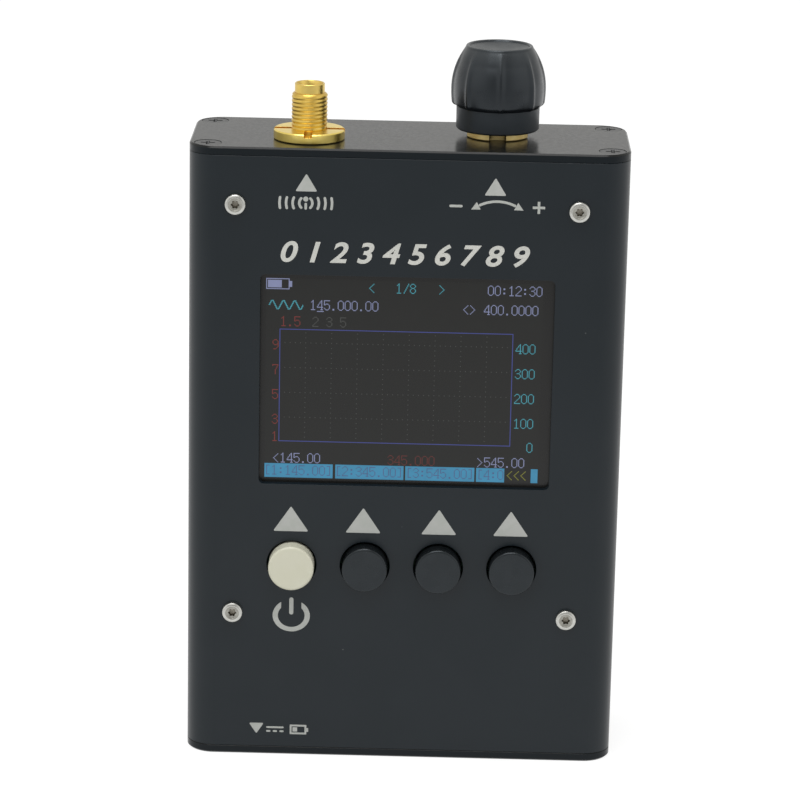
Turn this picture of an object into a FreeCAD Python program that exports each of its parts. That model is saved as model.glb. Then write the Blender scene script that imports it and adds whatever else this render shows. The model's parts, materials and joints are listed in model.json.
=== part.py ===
import FreeCAD, Part
import math
import os

# Antenna analyzer: a hand-held radio instrument in an extruded aluminium case.
# Millimetres. +Z is up, +X is to the right seen from the front, and the front faces -Y.
# The origin is the centre of the bottom face. Depths are counted from the front face.

# Case: an extruded tube closed by two end plates
case_width = 77.6
case_depth = 27.0
case_height = 113.0
case_corner_radius = 5.0
case_wall = 1.5
end_plate_thickness = 1.5
end_plate_chamfer = 0.3
seam_chamfer = 0.1
plate_screw_side_inset = 3.3
plate_screw_face_inset = 3.6
screw_channel_wall = 1.2
screw_channel_slit = 1.0

# Display and its window
window_side_inset = 12.8
window_height = 38.6
window_corner_radius = 1.0
window_x = 0.1
window_top_inset = 22.7
panel_side_overlap = 2.0
panel_end_overlap = 1.3
panel_thickness = 1.1
panel_x = 0.0
panel_proud = 0.4
display_frame_rim = 0.9
display_frame_floor = 1.4
panel_clearance = 0.1
foam_pad_width = 9.0
foam_pad_margin = 2.6
foam_pad_gap = 0.9
flex_width = 28.0
flex_thickness = 0.15
flex_lead_out = 0.6
flex_connector_width = 5.0
flex_connector_height = 2.0
flex_connector_inset = 5.0
flex_connector_margin = 2.0

# Push buttons: a cap on the plunger of a board-mounted switch
button_names = ("power", "function_1", "function_2", "function_3")
button_pitch = 13.2
button_row_drop = 15.05
cap_diameter = 8.2
cap_hole_clearance = 0.4
cap_stand_out = 2.8
cap_edge_radius = 0.4
cap_wall = 0.9
cap_face_thickness = 1.2
cap_boss_wall = 0.95
cap_rear_margin = 0.6
switch_size = 6.0
switch_height = 3.5
switch_corner_radius = 0.5
switch_base = 0.6
plunger_diameter = 3.5
plunger_end_margin = 0.4
plunger_clearance = 0.1
button_travel = 0.3

# Main board, its standoffs and screws
board_thickness = 1.6
board_side_gap = 2.3
board_bottom_gap = 1.5
board_corner_radius = 1.5
front_screw_side_inset = 8.65
front_screw_x_shift = -0.25
front_screw_top_inset = 10.15
front_screw_bottom_inset = 27.4
front_screw_thread = 2.0
front_screw_head_diameter = 3.7
front_screw_head_height = 1.0
board_screw_head_diameter = 3.6
board_screw_head_height = 1.2
standoff_across_flats = 4.0
screw_tip_gap = 0.9
screw_clearance = 0.1
thread_clearance = 0.05

# End plate screws, countersunk
plate_screw_thread = 2.5
plate_screw_head_diameter = 4.8
plate_screw_head_rim = 0.1
plate_screw_length = 8.0

# Aerial jack, standing on the board's top edge
jack_side_inset = 20.85
jack_depth = 9.2
jack_thread_diameter = 6.35
jack_thread_height = 0.525
jack_thread_chamfer = 0.35
jack_shank_step = 0.25
jack_nose_length = 1.7
jack_nose_wall = 0.35
jack_stand_out = 9.95
jack_mouth_depth = 1.9
jack_mouth_step = 0.25
jack_contact_diameter = 1.27
jack_contact_hole_diameter = 0.94
jack_contact_hole_depth = 3.0
jack_tail_diameter = 0.9
jack_tail_length = 3.0
jack_flange_size = 8.0
jack_flange_thickness = 2.0
jack_leg_size = 1.0
jack_leg_length = 4.0
jack_leg_spacing = 5.6
jack_nut_diameter = 12.6
jack_nut_thickness = 1.8
jack_nut_slot_width = 1.45
jack_nut_slot_depth = 0.6
nut_chamfer = 0.2

# Rotary encoder with push action, hung from the top plate behind the board
encoder_side_inset = 23.45
encoder_board_gap = 0.4
encoder_width = 12.0
encoder_depth = 11.7
encoder_plate_thickness = 1.0
encoder_housing_height = 4.5
encoder_cavity_diameter = 9.8
encoder_cavity_depth = 3.5
encoder_bushing_diameter = 7.0
encoder_bushing_length = 7.0
encoder_shaft_diameter = 6.0
encoder_shaft_length = 15.0
encoder_shaft_flat = 1.5
encoder_flat_length = 6.8
encoder_press_travel = 0.5
encoder_press_margin = 0.3
encoder_running_clearance = 0.05
encoder_rotor_thickness = 1.5
encoder_rotor_gap = 0.5
encoder_detents = 20
encoder_detent_radius = 0.35
encoder_pin_size = 0.8
encoder_pin_length = 3.5
encoder_pin_pitch = 2.5
encoder_nut_diameter = 11.2
encoder_nut_thickness = 2.0
encoder_nut_slot_width = 3.0
encoder_nut_slot_depth = 1.75

# Knob: a smooth collar and core carrying a fluted grip
knob_lift = 1.4
collar_diameter = 14.8
collar_height = 4.1
collar_edge_chamfer = 0.25
knob_core_cap = 0.6
knob_nut_clearance = 0.3
knob_nut_margin = 0.7
knob_bushing_clearance = 0.4
knob_bushing_margin = 0.5
knob_shaft_headroom = 0.1
grip_cap = 0.95
grip_wall = 2.82
grip_foot_inset = 0.97
grip_belly_diameter = 16.84
grip_belly_height = 3.0
grip_foot_bend_height = 0.9
grip_foot_bend_share = 0.8
grip_shoulder_inset = 0.68
grip_shoulder_height = 7.2
grip_rim_inset = 2.45
grip_rim_radius = 0.35
grip_dish_depth = 0.9
flute_count = 8
flute_turn = 25.5
flute_depth = 1.14
flute_hollow_radius = 11.0
flute_top_margin = 0.15
flute_top_depth = 0.56

# Electronics on the board
shield_width = 17.0
shield_height = 20.0
shield_depth = 3.2
shield_wall = 0.3
shield_screw_gap = 0.4
processor_size = 14.0
processor_thickness = 1.4
processor_x = 3.0
processor_z = 59.0
battery_socket_width = 8.0
battery_socket_height = 6.0
battery_socket_depth = 4.2
battery_socket_wall = 0.8
battery_socket_side_inset = 13.0
battery_socket_bottom_inset = 8.0

# Battery pack on the back wall
battery_width = 50.0
battery_height = 62.0
battery_thickness = 6.0
battery_edge_radius = 2.5
battery_z = 53.0
battery_pad_thickness = 1.0
battery_pad_margin = 6.0

# Charge socket on the board's bottom edge
charge_side_inset = 13.0
charge_width = 7.7
charge_thickness = 3.9
charge_length = 9.2
charge_wall = 0.35
charge_corner_radius = 0.9
charge_recess = 0.5
charge_cutout_gap = 0.4
charge_tongue_width = 5.2
charge_tongue_thickness = 1.0
charge_tongue_setback = 1.2
charge_plug_length = 1.5

# Places worked out from the sizes above
front_y = -case_depth / 2
plate_bottom_z = case_height - end_plate_thickness
jack_x = jack_side_inset - case_width / 2
encoder_x = case_width / 2 - encoder_side_inset
window_width = case_width - 2 * window_side_inset
window_z = case_height - window_top_inset - window_height / 2
panel_width = window_width + 2 * panel_side_overlap
panel_height = window_height + 2 * panel_end_overlap
flex_connector_x = panel_x + panel_width / 2 - flex_connector_inset
foam_pad_reach = flex_connector_x - flex_connector_width / 2 - foam_pad_gap
button_row_z = window_z - window_height / 2 - button_row_drop
button_hole_diameter = cap_diameter + 2 * cap_hole_clearance
cap_boss_diameter = plunger_diameter + 2 * cap_boss_wall
jack_shank_diameter = jack_thread_diameter - 2 * jack_shank_step
jack_nose_diameter = jack_thread_diameter - 2 * jack_thread_height
jack_mouth_diameter = jack_nose_diameter - 2 * jack_nose_wall
jack_insulator_diameter = jack_mouth_diameter - 2 * jack_mouth_step
board_back_depth = jack_depth - jack_tail_diameter / 2
board_front_depth = board_back_depth - board_thickness
board_top_z = plate_bottom_z - jack_flange_thickness
board_bottom_z = end_plate_thickness + board_bottom_gap
board_width = case_width - 2 * (case_wall + board_side_gap)
battery_socket_x = board_width / 2 - battery_socket_side_inset
battery_socket_z = board_bottom_z + battery_socket_bottom_inset
charge_x = charge_side_inset - board_width / 2
front_screw_x = case_width / 2 - front_screw_side_inset
front_screw_high_z = case_height - front_screw_top_inset
shield_top_z = front_screw_high_z - board_screw_head_diameter / 2 - shield_screw_gap
standoff_length = board_front_depth - case_wall
screw_engagement = (standoff_length - screw_tip_gap) / 2
switch_top_depth = board_front_depth - switch_height
cap_length = cap_stand_out + switch_top_depth - button_travel - cap_rear_margin
frame_front_depth = case_wall + panel_proud
frame_floor_depth = case_wall + panel_thickness
frame_back_depth = frame_floor_depth + display_frame_floor
encoder_axis_depth = board_back_depth + encoder_board_gap + encoder_depth / 2
housing_top_z = plate_bottom_z - encoder_plate_thickness
cavity_floor_z = housing_top_z - encoder_cavity_depth
rotor_top_z = housing_top_z - encoder_rotor_gap
shaft_bottom_z = cavity_floor_z + encoder_press_travel + encoder_press_margin
shaft_top_z = plate_bottom_z + encoder_shaft_length
bushing_top_z = plate_bottom_z + encoder_bushing_length
collar_bottom_z = case_height + knob_lift
grip_bottom_z = collar_bottom_z + collar_height
grip_foot_diameter = grip_belly_diameter - 2 * grip_foot_inset
grip_shoulder_diameter = grip_belly_diameter - 2 * grip_shoulder_inset
grip_rim_diameter = grip_belly_diameter - 2 * grip_rim_inset
knob_core_diameter = grip_belly_diameter - 2 * grip_wall
core_top_z = shaft_top_z + knob_shaft_headroom + knob_core_cap
core_height = core_top_z - grip_bottom_z
grip_height = core_height + grip_cap + grip_dish_depth + grip_rim_radius
battery_back_depth = case_depth - case_wall - battery_pad_thickness

ORIGIN = FreeCAD.Vector(0, 0, 0)
UP = FreeCAD.Vector(0, 0, 1)
DOWN = FreeCAD.Vector(0, 0, -1)
FORWARD = FreeCAD.Vector(0, -1, 0)
BACKWARD = FreeCAD.Vector(0, 1, 0)


def at(x, depth, z):
    """A point, with its depth counted from the front face."""
    return FreeCAD.Vector(x, front_y + depth, z)


def block(low, high):
    """A box between two opposite corners."""
    size = high - low
    return Part.makeBox(size.x, size.y, size.z, low)


def rod(radius, start, end):
    """A cylinder from one point to another."""
    span = end - start
    return Part.makeCylinder(radius, span.Length, start, span)


def edges_along(shape, direction):
    """The straight edges of a shape that run along a direction."""
    found = []
    for edge in shape.Edges:
        if isinstance(edge.Curve, Part.Line) and edge.Curve.Direction.cross(direction).Length < 1e-6:
            found.append(edge)
    return found


def rounded(shape, radius, direction):
    """The shape with its edges along a direction made round."""
    return shape.makeFillet(radius, edges_along(shape, direction))


def lathe(profile):
    """A solid turned about the Z axis from a closed list of (radius, height) points."""
    points = [FreeCAD.Vector(radius, 0, height) for radius, height in profile]
    return Part.Face(Part.makePolygon(points + points[:1])).revolve(ORIGIN, UP, 360)


def placed(shape, position, direction=UP):
    """A copy of a shape made at the origin along +Z, moved to a place and direction."""
    copy = shape.copy()
    copy.Placement = FreeCAD.Placement(position, FreeCAD.Rotation(UP, direction))
    return copy


def save(node, *solids):
    """Write one node as a STEP file of one or more solids."""
    shape = solids[0] if len(solids) == 1 else Part.makeCompound(solids)
    shape.exportStep(f"parts/{node}.step")


def plate_screw_points(z):
    """The four corner screws of an end plate, at one height."""
    x = case_width / 2 - plate_screw_side_inset
    depths = (plate_screw_face_inset, case_depth - plate_screw_face_inset)
    return [at(side * x, depth, z) for side in (-1, 1) for depth in depths]


def front_screw_points(depth):
    """The four screws that hold the board behind the front, at one depth."""
    heights = (front_screw_bottom_inset, front_screw_high_z)
    return [at(front_screw_x_shift + side * front_screw_x, depth, z) for side in (-1, 1) for z in heights]


def button_x(index):
    """The place of one button in the row."""
    return (index - (len(button_names) - 1) / 2) * button_pitch


def chamfered_at(shape, z, size):
    """The shape with the edges of its flat end at one height broken."""
    edges = [edge for edge in shape.Edges if abs(edge.BoundBox.ZMin - z) + abs(edge.BoundBox.ZMax - z) < size]
    return shape.makeChamfer(size, edges)


def case_outline(bottom_z, top_z):
    """The full outline of the case between two heights."""
    low = at(-case_width / 2, 0, bottom_z)
    high = at(case_width / 2, case_depth, top_z)
    return rounded(block(low, high), case_corner_radius, UP)


def case_body():
    """The extruded tube, with four screw channels and the openings of its front face."""
    bottom_z = end_plate_thickness
    outer = case_outline(bottom_z, plate_bottom_z)
    outer = chamfered_at(chamfered_at(outer, bottom_z, seam_chamfer), plate_bottom_z, seam_chamfer)
    inside = block(
        at(-case_width / 2 + case_wall, case_wall, bottom_z),
        at(case_width / 2 - case_wall, case_depth - case_wall, plate_bottom_z),
    )
    inside = rounded(inside, case_corner_radius - case_wall, UP)
    thread_radius = plate_screw_thread / 2 + thread_clearance
    centre = at(0, case_depth / 2, bottom_z)
    tube = outer.cut(inside)
    for point in plate_screw_points(bottom_z):
        top = point + UP * (plate_bottom_z - bottom_z)
        channel = rod(thread_radius + screw_channel_wall, point, top).common(outer)
        tube = tube.fuse(channel)
    for point in plate_screw_points(bottom_z):
        top = point + UP * (plate_bottom_z - bottom_z)
        tube = tube.cut(rod(thread_radius, point, top))
        reach = thread_radius + 2 * screw_channel_wall
        slit = Part.makeBox(reach, screw_channel_slit, plate_bottom_z - bottom_z)
        slit.translate(FreeCAD.Vector(0, -screw_channel_slit / 2, 0))
        inward = FreeCAD.Vector(math.copysign(1, -point.x), math.copysign(1, centre.y - point.y), 0)
        slit.Placement = FreeCAD.Placement(
            point, FreeCAD.Rotation(FreeCAD.Vector(1, 0, 0), inward)
        ).multiply(slit.Placement)
        tube = tube.cut(slit)
    window = block(
        at(window_x - window_width / 2, -case_wall, window_z - window_height / 2),
        at(window_x + window_width / 2, 2 * case_wall, window_z + window_height / 2),
    )
    tube = tube.cut(rounded(window, window_corner_radius, BACKWARD))
    for index in range(len(button_names)):
        front = at(button_x(index), -case_wall, button_row_z)
        tube = tube.cut(rod(button_hole_diameter / 2, front, front + BACKWARD * 3 * case_wall))
    for point in front_screw_points(0):
        radius = front_screw_thread / 2 + screw_clearance
        tube = tube.cut(rod(radius, point + FORWARD * case_wall, point + BACKWARD * 2 * case_wall))
    return tube.removeSplitter()


def countersunk_screw(clearance=0.0):
    """A countersunk screw pointing down from z = 0, grown by a clearance to cut its seat."""
    head = plate_screw_head_diameter / 2 + clearance
    thread = plate_screw_thread / 2 + clearance
    cone_end = -plate_screw_head_rim - (head - thread)
    return lathe([
        (0, 0),
        (head, 0),
        (head, -plate_screw_head_rim),
        (thread, cone_end),
        (thread, -plate_screw_length),
        (0, -plate_screw_length),
    ])


def end_plate(bottom_z, outer_z, outward):
    """An end plate with four countersunk holes and both of its edges broken."""
    plate = case_outline(bottom_z, bottom_z + end_plate_thickness)
    inner_z = outer_z - end_plate_thickness * outward.z
    plate = chamfered_at(plate, outer_z, end_plate_chamfer)
    plate = chamfered_at(plate, inner_z, seam_chamfer)
    seat = countersunk_screw(thread_clearance)
    for point in plate_screw_points(outer_z):
        plate = plate.cut(placed(seat, point, outward))
    return plate


def top_end_plate():
    """The top plate, with holes for the jack and the encoder's bushing."""
    plate = end_plate(plate_bottom_z, case_height, UP)
    openings = (
        (jack_x, jack_depth, jack_thread_diameter / 2 + screw_clearance),
        (encoder_x, encoder_axis_depth, encoder_bushing_diameter / 2 + screw_clearance),
    )
    for x, depth, radius in openings:
        bottom = at(x, depth, plate_bottom_z)
        plate = plate.cut(rod(radius, bottom, bottom + UP * end_plate_thickness))
    return plate


def charge_outline(grow, bottom_z, top_z):
    """The charge socket's round-cornered outline, grown all round, between two heights."""
    low = at(charge_x - charge_width / 2 - grow, board_back_depth - grow, bottom_z)
    high = at(charge_x + charge_width / 2 + grow, board_back_depth + charge_thickness + grow, top_z)
    return rounded(block(low, high), charge_corner_radius + grow, UP)


def bottom_end_plate():
    """The bottom plate, with the charge socket's cut-out."""
    plate = end_plate(0, 0, DOWN)
    return plate.cut(charge_outline(charge_cutout_gap, 0, end_plate_thickness))


def button_head_screw():
    """A screw with a domed head standing on z = 0 and its thread pointing down."""
    head = front_screw_head_diameter / 2
    thread = front_screw_thread / 2
    length = case_wall + screw_engagement
    dome = Part.makeSphere((head ** 2 + front_screw_head_height ** 2) / (2 * front_screw_head_height))
    dome.translate(DOWN * (dome.BoundBox.ZMax - front_screw_head_height))
    dome = dome.common(Part.makeCylinder(head, front_screw_head_height))
    return dome.fuse(rod(thread, ORIGIN, DOWN * length)).removeSplitter()


def pan_head_screw():
    """The screw behind the board, with a flat head standing on z = 0."""
    head = Part.makeCylinder(board_screw_head_diameter / 2, board_screw_head_height)
    length = board_thickness + screw_engagement
    return head.fuse(rod(front_screw_thread / 2, ORIGIN, DOWN * length)).removeSplitter()


def standoff(point):
    """A hexagonal spacer, tapped right through, between the front wall and the board."""
    corner_radius = standoff_across_flats / math.sqrt(3)
    corners = []
    for step in range(7):
        angle = math.radians(60 * step + 30)
        corners.append(FreeCAD.Vector(corner_radius * math.cos(angle), corner_radius * math.sin(angle), 0))
    hexagon = Part.Face(Part.makePolygon(corners)).extrude(UP * standoff_length)
    bore = Part.makeCylinder(front_screw_thread / 2 + thread_clearance, standoff_length)
    return placed(hexagon.cut(bore), point, BACKWARD)


def main_board():
    """The circuit board, drilled for its four screws."""
    low = at(-board_width / 2, board_front_depth, board_bottom_z)
    high = at(board_width / 2, board_back_depth, board_top_z)
    board = rounded(block(low, high), board_corner_radius, BACKWARD)
    for point in front_screw_points(board_front_depth):
        radius = front_screw_thread / 2 + screw_clearance
        board = board.cut(rod(radius, point, point + BACKWARD * board_thickness))
    return board


def panel_block(grow, front_depth, back_depth):
    """The display panel's outline, grown all round, between two depths."""
    low = at(panel_x - panel_width / 2 - grow, front_depth, window_z - panel_height / 2 - grow)
    high = at(panel_x + panel_width / 2 + grow, back_depth, window_z + panel_height / 2 + grow)
    return block(low, high)


def display_frame():
    """The tray behind the panel, which also holds the backlight."""
    tray = panel_block(panel_clearance + display_frame_rim, frame_front_depth, frame_back_depth)
    return tray.cut(panel_block(panel_clearance, frame_front_depth, frame_floor_depth))


def foam_pads():
    """Two foam strips that press the display against the window."""
    half_height = panel_height / 2 - foam_pad_margin
    pads = []
    for x in (-foam_pad_reach, foam_pad_reach - foam_pad_width):
        low = at(x, frame_back_depth, window_z - half_height)
        high = at(x + foam_pad_width, board_front_depth, window_z + half_height)
        pads.append(block(low, high))
    return pads


def flex_connector():
    """The connector on the board that takes the display's flex."""
    height = flex_width + 2 * flex_connector_margin
    low = at(flex_connector_x - flex_connector_width / 2, board_front_depth - flex_connector_height,
             window_z - height / 2)
    high = at(flex_connector_x + flex_connector_width / 2, board_front_depth, window_z + height / 2)
    return block(low, high)


def display_flex():
    """A ribbon that leaves the frame's end, turns back and enters its connector."""
    start_x = panel_x + panel_width / 2 + panel_clearance + display_frame_rim
    end_x = flex_connector_x + flex_connector_width / 2
    near_depth = (frame_floor_depth + frame_back_depth) / 2
    far_depth = board_front_depth - flex_connector_height / 2
    bend = (far_depth - near_depth) / 2
    turn_x = start_x + flex_lead_out

    def outline(offset):
        """One skin of the ribbon, from the frame round the bend to the connector."""
        near = near_depth - offset
        far = far_depth + offset
        first = at(start_x, near, 0)
        bend_start = at(turn_x, near, 0)
        bend_middle = at(turn_x + bend + offset, near_depth + bend, 0)
        bend_end = at(turn_x, far, 0)
        last = at(end_x, far, 0)
        return [
            Part.LineSegment(first, bend_start).toShape(),
            Part.Arc(bend_start, bend_middle, bend_end).toShape(),
            Part.LineSegment(bend_end, last).toShape(),
        ], first, last

    half = flex_thickness / 2
    outer, outer_first, outer_last = outline(half)
    inner, inner_first, inner_last = outline(-half)
    ends = [
        Part.LineSegment(outer_first, inner_first).toShape(),
        Part.LineSegment(outer_last, inner_last).toShape(),
    ]
    wire = Part.Wire(Part.__sortEdges__(outer + inner + ends))
    ribbon = Part.Face(wire).extrude(UP * flex_width)
    ribbon.translate(UP * (window_z - flex_width / 2))
    return ribbon


def button_cap(x):
    """A round cap, hollow behind, with a boss that takes the plunger."""
    radius = cap_diameter / 2
    cap = Part.makeCylinder(radius, cap_length)
    front_rim = [edge for edge in cap.Edges if abs(edge.CenterOfMass.z - cap_length) < cap_edge_radius / 2]
    cap = cap.makeFillet(cap_edge_radius, front_rim)
    hollow = Part.makeCylinder(radius - cap_wall, cap_length - cap_face_thickness)
    boss = Part.makeCylinder(cap_boss_diameter / 2, cap_length - cap_face_thickness)
    socket = Part.makeCylinder(plunger_diameter / 2, cap_length - cap_face_thickness)
    cap = cap.cut(hollow.cut(boss)).cut(socket)
    return placed(cap, at(x, cap_length - cap_stand_out, button_row_z), FORWARD)


def switch_body(x):
    """A square push switch on the board, with the well its plunger runs in."""
    half = switch_size / 2
    low = at(x - half, switch_top_depth, button_row_z - half)
    high = at(x + half, board_front_depth, button_row_z + half)
    body = rounded(block(low, high), switch_corner_radius, BACKWARD)
    top = at(x, switch_top_depth, button_row_z)
    well_bottom = at(x, board_front_depth - switch_base, button_row_z)
    return body.cut(rod(plunger_diameter / 2 + plunger_clearance, top, well_bottom))


def plunger(x):
    """The switch's plunger, from inside the cap to above the bottom of its well."""
    front = at(x, cap_face_thickness - cap_stand_out, button_row_z)
    rear = at(x, board_front_depth - switch_base - button_travel - plunger_end_margin, button_row_z)
    return rod(plunger_diameter / 2, front, rear)


def jack_body():
    """The jack: threaded barrel, flange under the plate and legs astride the board."""
    thread = jack_thread_diameter / 2
    shank = jack_shank_diameter / 2
    nose = jack_nose_diameter / 2
    top = jack_stand_out
    thread_top = top - jack_nose_length
    bottom = -end_plate_thickness
    barrel = lathe([
        (0, bottom),
        (shank, bottom),
        (shank, jack_nut_thickness),
        (thread, jack_nut_thickness),
        (thread, thread_top - jack_thread_chamfer),
        (thread - jack_thread_chamfer, thread_top),
        (nose, thread_top),
        (nose, top),
        (0, top),
    ])
    half = jack_flange_size / 2
    flange_bottom = bottom - jack_flange_thickness
    low = FreeCAD.Vector(-half, -half, flange_bottom)
    body = barrel.fuse(block(low, FreeCAD.Vector(half, half, bottom)))
    board_back = -jack_tail_diameter / 2
    board_front = board_back - board_thickness
    leg_rows = ((board_front - jack_leg_size, board_front), (board_back, board_back + jack_leg_size))
    for side in (-1, 1):
        leg_x = side * jack_leg_spacing / 2
        for near, far in leg_rows:
            leg_low = FreeCAD.Vector(leg_x - jack_leg_size / 2, near, flange_bottom - jack_leg_length)
            leg_high = FreeCAD.Vector(leg_x + jack_leg_size / 2, far, flange_bottom)
            body = body.fuse(block(leg_low, leg_high))
    bore = rod(jack_insulator_diameter / 2, UP * flange_bottom, UP * top)
    mouth = rod(jack_mouth_diameter / 2, UP * (top - jack_mouth_depth), UP * top)
    body = body.cut(bore).cut(mouth).removeSplitter()
    return placed(body, at(jack_x, jack_depth, case_height))


def jack_insulator():
    """The white sleeve between the jack's barrel and its contact."""
    bottom = -end_plate_thickness - jack_flange_thickness
    top = jack_stand_out - jack_mouth_depth
    sleeve = rod(jack_insulator_diameter / 2, UP * bottom, UP * top)
    sleeve = sleeve.cut(rod(jack_contact_diameter / 2, UP * bottom, UP * top))
    return placed(sleeve, at(jack_x, jack_depth, case_height))


def jack_contact():
    """The centre contact, a socket above and a thin tail on the board below."""
    bottom = -end_plate_thickness - jack_flange_thickness
    top = jack_stand_out - jack_mouth_depth
    contact = rod(jack_contact_diameter / 2, UP * bottom, UP * top)
    contact = contact.fuse(rod(jack_tail_diameter / 2, UP * (bottom - jack_tail_length), UP * bottom))
    hole = rod(jack_contact_hole_diameter / 2, UP * (top - jack_contact_hole_depth), UP * top)
    return placed(contact.cut(hole), at(jack_x, jack_depth, case_height))


def ring_nut(outer_diameter, bore_diameter, thickness, chamfer):
    """A plain round nut standing on z = 0, both of its outer edges broken."""
    outer = outer_diameter / 2
    bore = bore_diameter / 2 + thread_clearance
    return lathe([
        (bore, 0),
        (outer - chamfer, 0),
        (outer, chamfer),
        (outer, thickness - chamfer),
        (outer - chamfer, thickness),
        (bore, thickness),
    ])


def jack_nut():
    """The jack's round nut, with a cross of shallow spanner slots in its top face."""
    nut = ring_nut(jack_nut_diameter, jack_shank_diameter, jack_nut_thickness, nut_chamfer)
    long_half = jack_nut_diameter
    short_half = jack_nut_slot_width / 2
    floor_z = jack_nut_thickness - jack_nut_slot_depth
    for half_x, half_y in ((long_half, short_half), (short_half, long_half)):
        low = FreeCAD.Vector(-half_x, -half_y, floor_z)
        nut = nut.cut(block(low, FreeCAD.Vector(half_x, half_y, jack_nut_thickness)))
    return placed(nut, at(jack_x, jack_depth, case_height))


def encoder_nut():
    """The encoder's round nut, with four spanner notches through its rim."""
    nut = ring_nut(encoder_nut_diameter, encoder_bushing_diameter, encoder_nut_thickness, nut_chamfer)
    rim = encoder_nut_diameter / 2
    half = encoder_nut_slot_width / 2
    for step in range(4):
        low = FreeCAD.Vector(rim - encoder_nut_slot_depth, -half, 0)
        notch = block(low, FreeCAD.Vector(2 * rim, half, encoder_nut_thickness))
        notch.rotate(ORIGIN, UP, 90 * step)
        nut = nut.cut(notch)
    return placed(nut, at(encoder_x, encoder_axis_depth, case_height))


def encoder_square(bottom_z, top_z):
    """The encoder's rectangular outline between two heights."""
    low = at(encoder_x - encoder_width / 2, encoder_axis_depth - encoder_depth / 2, bottom_z)
    high = at(encoder_x + encoder_width / 2, encoder_axis_depth + encoder_depth / 2, top_z)
    return block(low, high)


def encoder_axis(z):
    """The point on the encoder's axis at one height."""
    return at(encoder_x, encoder_axis_depth, z)


def encoder_bushing():
    """The encoder's cover plate and the threaded bushing that the nut clamps."""
    plate = encoder_square(housing_top_z, plate_bottom_z)
    barrel = rod(encoder_bushing_diameter / 2, encoder_axis(plate_bottom_z), encoder_axis(bushing_top_z))
    bore_radius = encoder_shaft_diameter / 2 + encoder_running_clearance
    bore = rod(bore_radius, encoder_axis(housing_top_z), encoder_axis(bushing_top_z))
    return plate.fuse(barrel).cut(bore)


def encoder_housing():
    """The encoder's moulded housing, with the rotor's well and a row of pins below."""
    bottom_z = housing_top_z - encoder_housing_height
    housing = encoder_square(bottom_z, housing_top_z)
    well = rod(encoder_cavity_diameter / 2, encoder_axis(cavity_floor_z), encoder_axis(housing_top_z))
    housing = housing.cut(well)
    half = encoder_pin_size / 2
    for row in (-1, 1):
        y_offset = row * (encoder_depth / 2 - encoder_pin_size)
        for step in (-1, 0, 1):
            top = encoder_axis(bottom_z) + FreeCAD.Vector(step * encoder_pin_pitch, y_offset, 0)
            low = top - FreeCAD.Vector(half, half, encoder_pin_length)
            housing = housing.fuse(block(low, top + FreeCAD.Vector(half, half, 0)))
    return housing.removeSplitter()


def flatted_rod(radius, flat_cut, bottom_z, top_z):
    """A rod on the encoder's axis with one flat, which faces the back."""
    whole = rod(radius, encoder_axis(bottom_z), encoder_axis(top_z))
    low = encoder_axis(bottom_z) - FreeCAD.Vector(radius, radius, 0)
    high = encoder_axis(top_z) + FreeCAD.Vector(radius, radius - flat_cut, 0)
    return whole.common(block(low, high))


def encoder_shaft():
    """The shaft: flatted for the rotor below and for the knob above, round between."""
    radius = encoder_shaft_diameter / 2
    round_top_z = shaft_top_z - encoder_flat_length
    shaft = flatted_rod(radius, encoder_shaft_flat, shaft_bottom_z, shaft_top_z)
    middle = rod(radius, encoder_axis(housing_top_z + encoder_press_travel), encoder_axis(round_top_z))
    return shaft.fuse(middle).removeSplitter()


def encoder_rotor():
    """The rotor, turned by the shaft's flat, with a crown of detent notches."""
    radius = encoder_cavity_diameter / 2 - encoder_detent_radius
    bottom_z = rotor_top_z - encoder_rotor_thickness
    rotor = rod(radius, encoder_axis(bottom_z), encoder_axis(rotor_top_z))
    bore_radius = encoder_shaft_diameter / 2 + encoder_running_clearance
    rotor = rotor.cut(flatted_rod(bore_radius, encoder_shaft_flat, bottom_z, rotor_top_z))
    for step in range(encoder_detents):
        angle = 2 * math.pi * step / encoder_detents
        offset = FreeCAD.Vector(radius * math.cos(angle), radius * math.sin(angle), 0)
        notch_bottom = encoder_axis(bottom_z) + offset
        rotor = rotor.cut(rod(encoder_detent_radius, notch_bottom, encoder_axis(rotor_top_z) + offset))
    return rotor


def knob_core():
    """The knob's collar and the core that the shaft drives, hollow over nut and bushing."""
    collar = collar_diameter / 2
    core = knob_core_diameter / 2
    nut_hollow = encoder_nut_diameter / 2 + knob_nut_clearance
    nut_top_z = case_height + encoder_nut_thickness + encoder_press_travel + knob_nut_margin
    bushing_hollow = encoder_bushing_diameter / 2 + knob_bushing_clearance
    hub_bottom_z = bushing_top_z + encoder_press_travel + knob_bushing_margin
    turned = lathe([
        (nut_hollow, collar_bottom_z),
        (collar - collar_edge_chamfer, collar_bottom_z),
        (collar, collar_bottom_z + collar_edge_chamfer),
        (collar, grip_bottom_z),
        (core, grip_bottom_z),
        (core, core_top_z),
        (0, core_top_z),
        (0, hub_bottom_z),
        (bushing_hollow, hub_bottom_z),
        (bushing_hollow, nut_top_z),
        (nut_hollow, nut_top_z),
    ])
    turned.translate(at(encoder_x, encoder_axis_depth, 0))
    shaft_hole = flatted_rod(
        encoder_shaft_diameter / 2, encoder_shaft_flat, hub_bottom_z, shaft_top_z + knob_shaft_headroom
    )
    round_top_z = shaft_top_z - encoder_flat_length
    neck = rod(encoder_shaft_diameter / 2, encoder_axis(collar_bottom_z), encoder_axis(round_top_z))
    return turned.cut(shaft_hole).cut(neck)


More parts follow.
